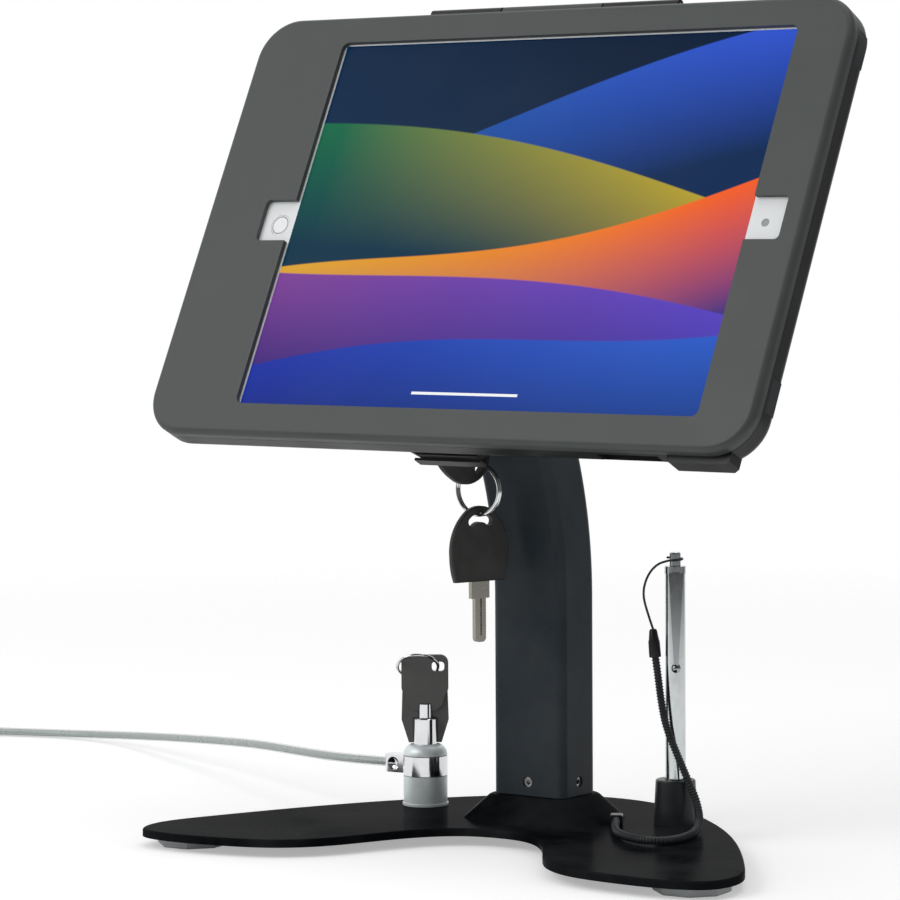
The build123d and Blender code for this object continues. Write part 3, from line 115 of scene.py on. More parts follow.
# The tether, as in the part's source, in the base plate's own frame, in metres
TETHER_RADIUS = 1.6 * MM
TETHER_ROUTE = [
    (0.03534, -0.0078, 0.0087), (0.0415, -0.0205, 0.0087), (0.049, -0.0325, 0.0087),
    (0.059, -0.0403, 0.0087), (0.0685, -0.0423, 0.0087), (0.0749, -0.036, 0.0087),
    (0.0752, -0.024, 0.0087), (0.0713, -0.0105, 0.0088), (0.0672, -0.0005, 0.011),
    (0.0641, 0.003, 0.0172), (0.06, 0.003, 0.0256), (0.0555, 0.003, 0.035),
    (0.0514, 0.0024, 0.0444), (0.0489, 0.0032, 0.0545), (0.0472, 0.0042, 0.0635),
    (0.04542, 0.00513, 0.0717),
]
CAP_TOP = (0.0448, 0.00476, 0.0812)
CAP_SIDES = 32
CAP_PROFILE = [    # share of the way up, radius
    (-0.12, 1.9 * MM), (-0.12, 2.3 * MM), (0.5, 2.2 * MM), (0.58, 1.95 * MM), (0.94, 1.5 * MM),
    (1.0, 1.1 * MM),
]
STRING_RADIUS = 0.45 * MM
STRING_SIDES = 12
STRING_ROUTE = [
    (0.0426, 0.0034, 0.0888), (0.0414, 0.0028, 0.0952), (0.043, 0.0036, 0.1016),
    (0.0464, 0.005, 0.106),
]
STRING_LOOP_RADIUS = 2.75 * MM
STRING_LOOP_POINTS = 12
STRING_LOOP_START = 0.8
STRING_LOOP_LOW = 107.4 * MM
STRING_LOOP_CLIMB = 1.0 * MM

# How the cables' curves and sections are drawn
CURVE_STEPS = 8
COAT_ROUNDNESS = 5
WIRE_SHARE = 0.86
WIRE_STEP = 1.0 * MM
VALLEY_SHARE = 0.74
VALLEY_ROUNDING = 0.4 * MM
CORE_SIDES = 14
RIB_HOOP_SIDES = 16
RIB_SIDES = 6
RIB_SUNK_SHARE = 0.85
SHARP_ANGLE = math.radians(35.0)

# The stage: where the floor fades out, and how surfaces that mirror see a white sweep behind
FLOOR_GAP = 0.05 * MM
FLOOR_GRAIN = 400.0
FLOOR_BAND = (0.3, 0.7)
FLOOR_TONE = (0.80, 0.83)
FLOOR_LIFT = 0.385
FLOOR_FADE = (0.55, 1.1)
SWEEP_SIDE = (-0.85, 0.53, 0.0)
SWEEP_EDGE = (-0.05, 0.55)
LIGHT_TARGET = (0.0, -0.05, 0.18)
LIGHTS = [    # name, place, size, the power's name on the panel
    ("key_light", (-0.9, -1.5, 1.3), (1.4, 1.1), "key"),
    ("side_light", (1.5, 0.35, 0.55), (0.5, 1.2), "side"),
    ("top_light", (0.1, 0.1, 1.9), (1.3, 1.3), "top"),
]


# Sizes and colours that a user would change

class KioskCamera(bpy.types.PropertyGroup):
    azimuth: FloatProperty(
        name="Azimuth", description="Turn of the camera from the front",
        default=math.radians(35.83), subtype="ANGLE",
    )
    elevation: FloatProperty(
        name="Elevation", description="Height angle of the camera",
        default=math.radians(3.48), subtype="ANGLE",
    )
    roll: FloatProperty(
        name="Roll", description="Roll of the camera", default=math.radians(-0.33), subtype="ANGLE",
    )
    place: FloatVectorProperty(
        name="Place", description="Where the camera stands",
        default=(0.816706, -1.226777, 0.23605), subtype="TRANSLATION",
    )
    lens: FloatProperty(
        name="Lens", description="Focal length in millimetres", default=150.25, min=20.0,
    )
    sensor: FloatProperty(
        name="Sensor", description="Sensor width in millimetres", default=36.0, min=1.0,
    )


class KioskStage(bpy.types.PropertyGroup):
    floor_size: FloatProperty(
        name="Floor size", description="Half the side of the floor", default=6.0,
        subtype="DISTANCE",
    )
    surround: FloatProperty(
        name="Surround", description="Strength of the even light", default=0.46, min=0.0,
    )
    room: FloatProperty(
        name="Room", description="How bright the room in front shows in gloss", default=0.10,
        min=0.0, max=1.0,
    )
    key: FloatProperty(
        name="Key", description="Power of the soft front light", default=14.0, min=0.0,
        subtype="POWER",
    )
    side: FloatProperty(
        name="Side", description="Power of the strip light", default=0.4, min=0.0, subtype="POWER",
    )
    top: FloatProperty(
        name="Top", description="Power of the overhead light", default=7.0, min=0.0,
        subtype="POWER",
    )


class KioskCables(bpy.types.PropertyGroup):
    strand_lobes: IntProperty(
        name="Strands", description="Wires laid round the security cable", default=7, min=3,
    )
    strand_pitch: FloatProperty(
        name="Lay", description="Length of one turn of the strands", default=16.0 * MM,
        subtype="DISTANCE",
    )
    rib_pitch: FloatProperty(
        name="Rib pitch", description="Distance between the sheath's ribs", default=1.15 * MM,
        subtype="DISTANCE",
    )
    rib_height: FloatProperty(
        name="Rib radius", description="Radius of one rib's own section", default=0.42 * MM,
        subtype="DISTANCE",
    )


class KioskColours(bpy.types.PropertyGroup):
    frame_grey: FloatVectorProperty(
        name="Frame", description="Satin coat of the front frame", default=(0.064, 0.071, 0.070),
        subtype="COLOR",
    )
    shell_black: FloatVectorProperty(
        name="Shell", description="Satin coat of the case's back",
        default=(0.0075, 0.008, 0.0085), subtype="COLOR",
    )
    column_slate: FloatVectorProperty(
        name="Column", description="Gloss coat of the column", default=(0.028, 0.036, 0.043),
        subtype="COLOR",
    )
    base_black: FloatVectorProperty(
        name="Base", description="Gloss coat of the base plate", default=(0.004, 0.0045, 0.0055),
        subtype="COLOR",
    )
    key_black: FloatVectorProperty(
        name="Key heads", description="Moulded plastic of the keys", default=(0.03, 0.029, 0.028),
        subtype="COLOR",
    )
    cable: FloatVectorProperty(
        name="Cable", description="Tint of the cable's clear coat", default=(0.50, 0.55, 0.54),
        subtype="COLOR",
    )


# Small helpers for meshes and curves

def case_point(x, y, z):
    """A point of the case's own frame, in millimetres, as a world point in metres."""
    return CASE_PLACE @ Vector((x * MM, y * MM, z * MM))


def base_point(x, y, z):
    """A point of the base plate's frame, in metres, as a world point."""
    return BASE_PLACE @ Vector((x, y, z))


def mat(name):
    """A finished material by name."""
    return bpy.data.materials[name]


def link(name, data, material=None):
    """A new object at the origin, with its place in its mesh."""
    made = bpy.data.objects.new(name, data)
    bpy.context.scene.collection.objects.link(made)
    if material is not None:
        data.materials.clear()
        data.materials.append(material)
    return made


def mesh_from(name, build, material, smooth=True):
    """A mesh piece that a function fills through bmesh."""
    bm = bmesh.new()
    build(bm)
    bmesh.ops.recalc_face_normals(bm, faces=bm.faces)
    mesh = bpy.data.meshes.new(name)
    bm.to_mesh(mesh)
    bm.free()
    if smooth:
        mesh.shade_smooth()
        mesh.set_sharp_from_angle(angle=SHARP_ANGLE)
    else:
        mesh.shade_flat()
    return link(name, mesh, material)


def evaluated_mesh(piece):
    """The finished mesh of an object whose modifiers are live."""
    graph = bpy.context.evaluated_depsgraph_get()
    return bpy.data.meshes.new_from_object(piece.evaluated_get(graph), depsgraph=graph)


def smooth_curve(name, points, bevel=0.0):
    """A route as one smooth NURBS spline with the route's own points."""
    curve = bpy.data.curves.new(name, "CURVE")
    curve.dimensions = "3D"
    curve.resolution_u = CURVE_STEPS
    spline = curve.splines.new("NURBS")
    spline.points.add(len(points) - 1)
    for point, place in zip(spline.points, points):
        point.co = (*place, 1.0)
    spline.order_u = 3
    spline.use_endpoint_u = True
    curve.bevel_depth = bevel
    curve.bevel_resolution = COAT_ROUNDNESS
    curve.use_fill_caps = bevel > 0
    return link(name, curve)


def followed_line(name, points):
    """The points that Blender reads along the smooth curve of a route."""
    line = smooth_curve(name, points)
    mesh = evaluated_mesh(line)
    followed = [vertex.co.copy() for vertex in mesh.vertices]
    bpy.data.meshes.remove(mesh)
    bpy.data.objects.remove(line)
    return followed


def ring_of(bm, centre, across, up, radius, count):
    """A closed ring of vertices round a centre."""
    made = []
    for index in range(count):
        angle = 2 * math.pi * index / count
        out = across * radius * math.cos(angle) + up * radius * math.sin(angle)
        made.append(bm.verts.new(centre + out))
    return made


def skin(bm, rings):
    """Quads between each ring and the next, and a cap on both ends."""
    for first, second in zip(rings, rings[1:]):
        count = len(first)
        for index in range(count):
            after = (index + 1) % count
            bm.faces.new((first[index], first[after], second[after], second[index]))
    bm.faces.new(rings[0])
    bm.faces.new(rings[-1])


def tube(points, radius, sides):
    """A function that builds a closed round tube along points, without twisting it."""
    def build(bm):
        rings = []
        side = None
        for index, point in enumerate(points):
            before = points[max(index - 1, 0)]
            after = points[min(index + 1, len(points) - 1)]
            along = (after - before).normalized()
            if side is None:
                seed = Vector((0, 0, 1)) if abs(along.z) < 0.9 else Vector((1, 0, 0))
                side = along.cross(seed).normalized()
            side = (side - along * side.dot(along)).normalized()
            rings.append(ring_of(bm, point, side, along.cross(side), radius, sides))
        skin(bm, rings)
    return build


# Nodes, for Geometry Nodes and shaders alike

def feed(tree, socket, value):
    """Link an input to a socket, or set it to a number, a vector or a colour."""
    if isinstance(value, bpy.types.NodeSocket):
        tree.links.new(value, socket)
    elif socket.type == "RGBA" and len(value) == 3:
        socket.default_value = (*value, 1.0)
    else:
        socket.default_value = value


def add_node(tree, kind, inputs=None, **settings):
    """A node with its settings, and its inputs fed by name or by number."""
    node = tree.nodes.new(kind)
    for label, value in settings.items():
        setattr(node, label, value)
    for key, value in (inputs or {}).items():
        feed(tree, node.inputs[key], value)
    return node


def hand_out(tree, output, **sockets):
    """Feed a group's outputs by name."""
    for label, socket in sockets.items():
        tree.links.new(socket, output.inputs[label])


def calc(tree, operation, first, second=None, third=None, clamp=False):
    """A math node whose inputs are sockets or numbers; returns its output."""
    values = {0: first, 1: second, 2: third}
    given = {index: value for index, value in values.items() if value is not None}
    return add_node(
        tree, "ShaderNodeMath", given, operation=operation, use_clamp=clamp,
    ).outputs[0]


# Geometry Nodes

def node_tree(name, inputs):
    """A geometry node group with named inputs and one geometry in and out."""
    tree = bpy.data.node_groups.new(name, "GeometryNodeTree")
    new_socket = tree.interface.new_socket
    new_socket("Geometry", in_out="INPUT", socket_type="NodeSocketGeometry")
    for label, kind, value in inputs:
        new_socket(label, in_out="INPUT", socket_type=kind).default_value = value
    new_socket("Material", in_out="INPUT", socket_type="NodeSocketMaterial")
    new_socket("Geometry", in_out="OUTPUT", socket_type="NodeSocketGeometry")
    given = tree.nodes.new("NodeGroupInput").outputs
    return tree, given, tree.nodes.new("NodeGroupOutput")


def close_tree(tree, geometry, output, material):
    """Realize the instances, set the material and hand the result out."""
    realize = add_node(tree, "GeometryNodeRealizeInstances", {"Geometry": geometry})
    finish = add_node(tree, "GeometryNodeSetMaterial", {
        "Geometry": realize.outputs["Geometry"], "Material": material,
    })
    hand_out(tree, output, Geometry=finish.outputs["Geometry"])


def grow(name, points, tree, values, material):
    """Run a tree on a line of joined edges and keep its result as a plain mesh piece."""
    line = bpy.data.meshes.new(name + "_carrier")
    line.from_pydata(points, [(index, index + 1) for index in range(len(points) - 1)], [])
    carrier = link(name + "_carrier", line)
    modifier = carrier.modifiers.new("shape", "NODES")
    modifier.node_group = tree
    chosen = {**values, "Material": material}
    for item in tree.interface.items_tree:
        if item.item_type == "SOCKET" and item.in_out == "INPUT" and item.name in chosen:
            modifier[item.identifier] = chosen[item.name]
    carrier.update_tag()
    bpy.context.view_layer.update()
    mesh = evaluated_mesh(carrier)
    carrier.modifiers.remove(modifier)
    bpy.data.objects.remove(carrier)
    mesh.name = name
    mesh.shade_smooth()
    return link(name, mesh, material)


def even_line(tree, given, step):
    """The carrier's line as a curve with points at an even step."""
    line = add_node(tree, "GeometryNodeMeshToCurve", {"Mesh": given["Geometry"]})
    return add_node(tree, "GeometryNodeResampleCurve", {
        "Curve": line.outputs["Curve"], "Length": given[step],
    }, mode="LENGTH").outputs["Curve"]


def circle(tree, radius, sides):
    """A round section."""
    return add_node(tree, "GeometryNodeCurvePrimitiveCircle", {
        "Resolution": sides, "Radius": radius,
    }).outputs["Curve"]


def sweep(tree, curve, section, caps):
    """A section drawn along a curve."""
    return add_node(tree, "GeometryNodeCurveToMesh", {
        "Curve": curve, "Profile Curve": section, "Fill Caps": caps,
    }).outputs["Mesh"]


def strand_tree():
    """Lobed section swept along a curve with a steady twist: the laid wires of a cable."""
    tree, given, output = node_tree("laid_strands", [
        ("Radius", "NodeSocketFloat", 1.6 * MM), ("Lobes", "NodeSocketInt", 7),
        ("Pitch", "NodeSocketFloat", 16.0 * MM), ("Step", "NodeSocketFloat", 1.0 * MM),
    ])
    along = add_node(tree, "GeometryNodeSplineParameter")
    turns = calc(tree, "DIVIDE", along.outputs["Length"], given["Pitch"])
    twist = add_node(tree, "GeometryNodeSetCurveTilt", {
        "Curve": even_line(tree, given, "Step"), "Tilt": calc(tree, "MULTIPLY", turns, 2 * math.pi),
    })
    star = add_node(tree, "GeometryNodeCurveStar", {
        "Points": given["Lobes"], "Outer Radius": given["Radius"],
        "Inner Radius": calc(tree, "MULTIPLY", given["Radius"], VALLEY_SHARE),
    })
    rounded = add_node(tree, "GeometryNodeFilletCurve", {
        "Curve": star.outputs["Curve"], "Count": 1, "Radius": VALLEY_ROUNDING,
    }, mode="POLY")
    wires = sweep(tree, twist.outputs["Curve"], rounded.outputs["Curve"], True)
    close_tree(tree, wires, output, given["Material"])
    return tree


def rib_tree():
    """A plain tube along a curve with a round rib at every step."""
    tree, given, output = node_tree("ribbed_sheath", [
        ("Core", "NodeSocketFloat", 1.25 * MM), ("Rib ring", "NodeSocketFloat", 1.25 * MM),
        ("Rib radius", "NodeSocketFloat", 0.4 * MM), ("Pitch", "NodeSocketFloat", 1.15 * MM),
    ])
    line = even_line(tree, given, "Pitch")
    core = sweep(tree, line, circle(tree, given["Core"], CORE_SIDES), True)
    hoop = circle(tree, given["Rib ring"], RIB_HOOP_SIDES)
    rib = sweep(tree, hoop, circle(tree, given["Rib radius"], RIB_SIDES), False)
    points = add_node(tree, "GeometryNodeCurveToPoints", {"Curve": line}, mode="EVALUATED")
    ribs = add_node(tree, "GeometryNodeInstanceOnPoints", {
        "Points": points.outputs["Points"], "Rotation": points.outputs["Rotation"],
        "Instance": rib,
    })
    both = add_node(tree, "GeometryNodeJoinGeometry", {"Geometry": core})
    tree.links.new(ribs.outputs["Instances"], both.inputs["Geometry"])
    close_tree(tree, both.outputs["Geometry"], output, given["Material"])
    return tree


# Shader groups that several finishes share

MIDDLE_BAND = (0.35, 0.65)      # where most values of a noise lie
SLOW_DETAIL = (4.0, 0.6)        # detail and roughness of the slow patches
FINE_PEEL = 3.1                 # the fine peel's scale against the coarse one
PEEL_SHARE = 0.7
GLOSS_SCALE = 22.0
SPECK_SCALE = 2600.0
SPECK_BAND = (0.70, 0.78)
PATCH_BAND = (0.4, 0.75, 0.0, 0.35)
COAT_PALE = (0.10, (0.6, 0.62, 0.62))
UPWARD_BAND = (0.55, 1.0)
DUST_PATCHES = (60.0, 5.0, 0.65)    # a noise's scale, detail and roughness
DUST_BAND = (0.35, 0.75)
DUST_COLOUR = (0.42, 0.41, 0.39)
DUST_DULLS = 0.5
LINE_SHARE = 0.45
HANDLING_MARKS = (120.0, 4.0, 0.65)
MARK_BAND = (0.5, 0.8, 0.0, 0.5)
METAL_DULL = (0.35, (0.3, 0.3, 0.3))
SOFT_GRAIN = 0.6
CELL_SHARE = 0.6
SOFT_SHARE = 0.5
WEAR_SCALE = 45.0
WEAR_BAND = (0.45, 0.8)
WORN_PALE = (0.16, (0.55, 0.55, 0.54))


def shader_group(name, inputs, outputs):
    """A shader node group, from the kinds of its named inputs and outputs."""
    group = bpy.data.node_groups.new(name, "ShaderNodeTree")
    for side, sockets in (("INPUT", inputs), ("OUTPUT", outputs)):
        for label, kind in sockets.items():
            group.interface.new_socket(label, in_out=side, socket_type="NodeSocket" + kind)
    given = group.nodes.new("NodeGroupInput").outputs
    return group, given, group.nodes.new("NodeGroupOutput")


def finish_group(name, *numbers, **others):
    """A group that makes a finish's colour, roughness and height from its own values."""
    inputs = {"Vector": "Vector", "Colour": "Color", **others}
    inputs.update(dict.fromkeys(("Smooth", "Rough", *numbers), "Float"))
    outputs = {"Colour": "Color", "Roughness": "Float", "Height": "Float"}
    return shader_group(name, inputs, outputs)


def noise(tree, vector, scale, detail=3.0, rough=0.5):
    """A noise texture on a vector socket; the scale is a number or a socket."""
    return add_node(tree, "ShaderNodeTexNoise", {
        "Vector": vector, "Scale": scale, "Detail": detail, "Roughness": rough,
    }).outputs["Fac"]


def blend_colours(tree, factor, first, second):
    """A colour mix whose inputs are sockets or colours."""
    node = add_node(tree, "ShaderNodeMix", data_type="RGBA")
    for label, value in (("Factor", factor), ("A", first), ("B", second)):
        socket = next(item for item in node.inputs if item.name == label and item.enabled)
        feed(tree, socket, value)
    return next(item for item in node.outputs if item.name == "Result" and item.enabled)


def spread(tree, value, low, high, out_low=0.0, out_high=1.0):
    """Map a value from one range to another, clamped."""
    return add_node(tree, "ShaderNodeMapRange", {
        "Value": value, "From Min": low, "From Max": high, "To Min": out_low, "To Max": out_high,
    }, clamp=True).outputs["Result"]


def product(tree, *values):
    """Several values multiplied."""
    total = values[0]
    for value in values[1:]:
        total = calc(tree, "MULTIPLY", total, value)
    return total


def weighted(tree, first, share, second, other):
    """Two values added, each by its share."""
    return calc(tree, "ADD", product(tree, first, share), product(tree, second, other))


def coat_group():
    """Powder coat: fine orange peel, a few specks and slow changes of gloss."""
    tree, given, output = finish_group("coat_surface", "Peel size", "Speck")
    vector, size, colour = given["Vector"], given["Peel size"], given["Colour"]
    peel = noise(tree, vector, size, 2.0)
    fine = noise(tree, vector, product(tree, size, FINE_PEEL), 2.0)
    slow = noise(tree, vector, GLOSS_SCALE, *SLOW_DETAIL)
    specks = spread(tree, noise(tree, vector, SPECK_SCALE, 0.0), *SPECK_BAND)
    share, pale = COAT_PALE
    lighter = blend_colours(tree, share, colour, pale)
    patch = blend_colours(tree, spread(tree, slow, *PATCH_BAND), colour, lighter)
    speck = product(tree, specks, given["Speck"])
    hand_out(
        tree, output, Colour=blend_colours(tree, speck, patch, lighter),
        Roughness=spread(tree, slow, *MIDDLE_BAND, given["Smooth"], given["Rough"]),
        Height=weighted(tree, peel, PEEL_SHARE, fine, 1 - PEEL_SHARE),
    )
    return tree


def dust_group():
    """Dust that settles on faces that look up, in soft patches."""
    tree, given, output = shader_group(
        "settled_dust", {"Vector": "Vector", "Normal": "Vector", "Amount": "Float"},
        {"Mask": "Float"},
    )
    split = add_node(tree, "ShaderNodeSeparateXYZ", {0: given["Normal"]})
    upward = spread(tree, split.outputs["Z"], *UPWARD_BAND)
    patches = spread(tree, noise(tree, given["Vector"], *DUST_PATCHES), *DUST_BAND)
    hand_out(tree, output, Mask=product(tree, upward, patches, given["Amount"]))
    return tree


def metal_group():
    """Bare metal: drawn lines along one axis, fine scratches and dull handling marks."""
    tree, given, output = finish_group("worked_metal", "Line size", Stretch="Vector")
    stretched = add_node(tree, "ShaderNodeVectorMath", {
        0: given["Vector"], 1: given["Stretch"],
    }, operation="MULTIPLY").outputs[0]
    lines = noise(tree, stretched, given["Line size"], *SLOW_DETAIL)
    marks = noise(tree, given["Vector"], *HANDLING_MARKS)
    mixed = weighted(tree, lines, LINE_SHARE, marks, 1 - LINE_SHARE)
    share, grey_tone = METAL_DULL
    dull = blend_colours(tree, share, given["Colour"], grey_tone)
    hand_out(
        tree, output, Height=lines,
        Colour=blend_colours(tree, spread(tree, marks, *MARK_BAND), given["Colour"], dull),
        Roughness=spread(tree, mixed, *MIDDLE_BAND, given["Smooth"], given["Rough"]),
    )
    return tree


def grain_group():
    """Moulded plastic and rubber: a pebbled texture with paler high spots."""
    tree, given, output = finish_group("moulded_grain", "Grain size", "Wear")
    vector, size, colour = given["Vector"], given["Grain size"], given["Colour"]
    cells = add_node(tree, "ShaderNodeTexVoronoi", {"Vector": vector, "Scale": size})
    soft = noise(tree, vector, product(tree, size, SOFT_GRAIN), 2.0)
    slow = noise(tree, vector, WEAR_SCALE, *SLOW_DETAIL)
    share, pale = WORN_PALE
    paler = blend_colours(tree, share, colour, pale)
    worn = product(tree, spread(tree, slow, *WEAR_BAND), given["Wear"])
    hand_out(
        tree, output, Colour=blend_colours(tree, worn, colour, paler),
        Roughness=spread(tree, slow, *MIDDLE_BAND, given["Smooth"], given["Rough"]),
        Height=weighted(tree, cells.outputs["Distance"], CELL_SHARE, soft, SOFT_SHARE),
    )
    return tree


def shared_group(label):
    """One of the shared groups, made when it is first asked for."""
    return bpy.data.node_groups.get(label) or BUILDERS[label]()


def place_group(material, label, values):
    """Put one shared group in a material, with object coordinates and its own values."""
    tree = material.node_tree
    place = tree.nodes.get("places") or add_node(tree, "ShaderNodeTexCoord", name="places")
    return add_node(
        tree, "ShaderNodeGroup", {"Vector": place.outputs["Object"], **values},
        node_tree=shared_group(label),
    ).outputs


# Finishes

def new_material(name):
    """An empty material with a Principled shader; returns the material and the shader."""
    material = bpy.data.materials.new(name)
    material.use_nodes = True
    return material, material.node_tree.nodes["Principled BSDF"]


def bump_from(material, height, distance, strength=0.5):
    """Feed a height to the shader's normal."""
    tree = material.node_tree
    bump = add_node(tree, "ShaderNodeBump", {
        "Height": height, "Distance": distance, "Strength": strength,
    })
    tree.links.new(bump.outputs["Normal"], tree.nodes["Principled BSDF"].inputs["Normal"])


def dusted(material, colour, roughness, amount):
    """Lay dust over a colour and roughness and feed both to the shader."""
    tree = material.node_tree
    shader = tree.nodes["Principled BSDF"]
    facing = add_node(tree, "ShaderNodeNewGeometry")
    mask = place_group(material, "settled_dust", {
        "Normal": facing.outputs["Normal"], "Amount": amount,
    })["Mask"]
    colour = blend_colours(tree, mask, colour, DUST_COLOUR)
    duller = calc(tree, "MULTIPLY_ADD", mask, DUST_DULLS, roughness, clamp=True)
    tree.links.new(colour, shader.inputs["Base Color"])
    tree.links.new(duller, shader.inputs["Roughness"])


def new_finish(name, label, values, depth, dust, constants):
    """A finish from a shared group: its colour and roughness under dust, its height as bump."""
    material, shader = new_material(name)
    surface = place_group(material, label, values)
    dusted(material, surface["Colour"], surface["Roughness"], dust)
    for socket, value in constants.items():
        shader.inputs[socket].default_value = value
    bump_from(material, surface["Height"], depth * MM)


def coat_material(name, colour, smooth, rough, peel, depth, sheen, speck, dust):
    """Powder-coated steel."""
    new_finish(name, "coat_surface", {
        "Colour": colour, "Peel size": peel, "Smooth": smooth, "Rough": rough, "Speck": speck,
    }, depth, dust, {"Specular IOR Level": sheen})


def metal_material(name, colour, smooth, rough, stretch, depth, bare, line=2400.0, dust=0.03):
    """Bare or plated metal; a matt plating has a smaller bare share."""
    new_finish(name, "worked_metal", {
        "Colour": colour, "Smooth": smooth, "Rough": rough, "Stretch": stretch, "Line size": line,
    }, depth, dust, {"Metallic": bare})


def grain_material(
    name, colour, smooth, rough, grain, depth, wear, dust=0.1, sheen=0.35, alpha=1.0,
):
    """Moulded plastic or rubber; the cable's coat is clear."""
    new_finish(name, "moulded_grain", {
        "Colour": colour, "Grain size": grain, "Smooth": smooth, "Rough": rough, "Wear": wear,
    }, depth, dust, {"Specular IOR Level": sheen, "Alpha": alpha})


# The display and the home button, in the case's own frame: centres in millimetres, the display's
# size in metres, and what it shows in shares of its width and height
SCREEN_CENTRE = (10.46, 0.4, 0.5)
SCREEN_SIZE = (208.0 * MM, 156.0 * MM)
SCREEN_LIT_HALF = (0.4965, 0.4965)
SCREEN_BAR_HALF = (0.115, 0.0035)
SCREEN_BAR_DROP = 0.455
SCREEN_BAR_COLOUR = (0.9, 0.91, 0.92)
SCREEN_DARK = (0.004, 0.005, 0.008)
SCREEN_GROUND = ((0.0, 0.024, 0.075), (0.0, 0.010, 0.035))
SCREEN_WAVES = [
    # height, swell, waves across, shift, slope, crest colours left and right, foot colour
    (0.30, 0.060, 3.4, 0.3, 0.34, (0.0, 0.07, 0.20), (0.03, 0.09, 0.62), (0.0, 0.02, 0.08)),
    (0.14, 0.070, 2.9, 1.9, -0.22, (0.005, 0.14, 0.06), (0.50, 0.36, 0.02), (0.0, 0.03, 0.06)),
    (-0.02, 0.060, 3.8, 4.1, 0.30, (0.72, 0.36, 0.02), (0.90, 0.11, 0.01), (0.06, 0.03, 0.20)),
    (-0.19, 0.055, 3.1, 0.8, -0.18, (0.20, 0.05, 0.30), (0.09, 0.05, 0.50), (0.005, 0.012, 0.16)),
    (-0.33, 0.040, 4.2, 2.6, 0.16, (0.01, 0.03, 0.36), (0.02, 0.10, 0.55), (0.0, 0.012, 0.07)),
]
WAVE_EDGE = 0.004
WAVE_DEPTH = 0.34
GROUND_REACH = 0.6
CREST_REACH = 0.45
BORDER_WHITE = (0.90, 0.92, 0.93)
BORDER_GREY = (0.7, 0.72, 0.72)
BORDER_SMEAR = 0.12
SMEARS = (4.0, 5.0, 0.6)
SMEAR_BAND = (0.35, 0.7)
SHEET_ROUGHNESS = (0.18, 0.32)
SHEET_SHEEN = 0.04
BUTTON_CENTRE = (-99.54, 0.0, -0.7)
BUTTON_WHITE = (0.90, 0.91, 0.92)
BUTTON_GREY = (0.22, 0.23, 0.24)
BUTTON_RING = 3.35 * MM
BUTTON_LINE = 0.45 * MM
BUTTON_BLUR = 0.08 * MM


def case_plane(tree, centre, size=(1.0, 1.0)):
    """Positions across and up a plane of the case, from its centre and in shares of its size."""
    place = add_node(tree, "ShaderNodeTexCoord")
    plane = add_node(tree, "ShaderNodeMapping", {
        "Vector": place.outputs["Object"], "Location": case_point(*centre),
        "Rotation": (-TILT_BACK, 0.0, 0.0), "Scale": (size[0], 1.0, size[1]),
    }, vector_type="TEXTURE").outputs["Vector"]
    split = add_node(tree, "ShaderNodeSeparateXYZ", {0: plane})
    return split.outputs["X"], split.outputs["Z"], plane


def screen_box(tree, across, up, half_width, half_height):
    """One inside a box on the screen, zero outside."""
    inside = []
    for position, half in ((across, half_width), (up, half_height)):
        beyond = calc(tree, "SUBTRACT", calc(tree, "ABSOLUTE", position), half)
        inside.append(calc(tree, "LESS_THAN", beyond, 0.0))
    return product(tree, *inside)


def wave_group():
    """One rolling wave on the screen: where it covers, and how far a point lies below its crest."""
    labels = ("Across", "Up", "Height", "Swell", "Waves", "Shift", "Slope")
    tree, given, output = shader_group(
        "screen_wave", dict.fromkeys(labels, "Float"), dict.fromkeys(("Cover", "Depth"), "Float"),
    )
    across = given["Across"]
    turn = calc(tree, "SINE", calc(tree, "MULTIPLY_ADD", across, given["Waves"], given["Shift"]))
    crest = calc(tree, "MULTIPLY_ADD", turn, given["Swell"], given["Height"])
    crest = calc(tree, "MULTIPLY_ADD", across, given["Slope"], crest)
    below = calc(tree, "SUBTRACT", crest, given["Up"])
    hand_out(
        tree, output, Cover=spread(tree, below, 0.0, WAVE_EDGE),
        Depth=spread(tree, below, 0.0, WAVE_DEPTH),
    )
    return tree


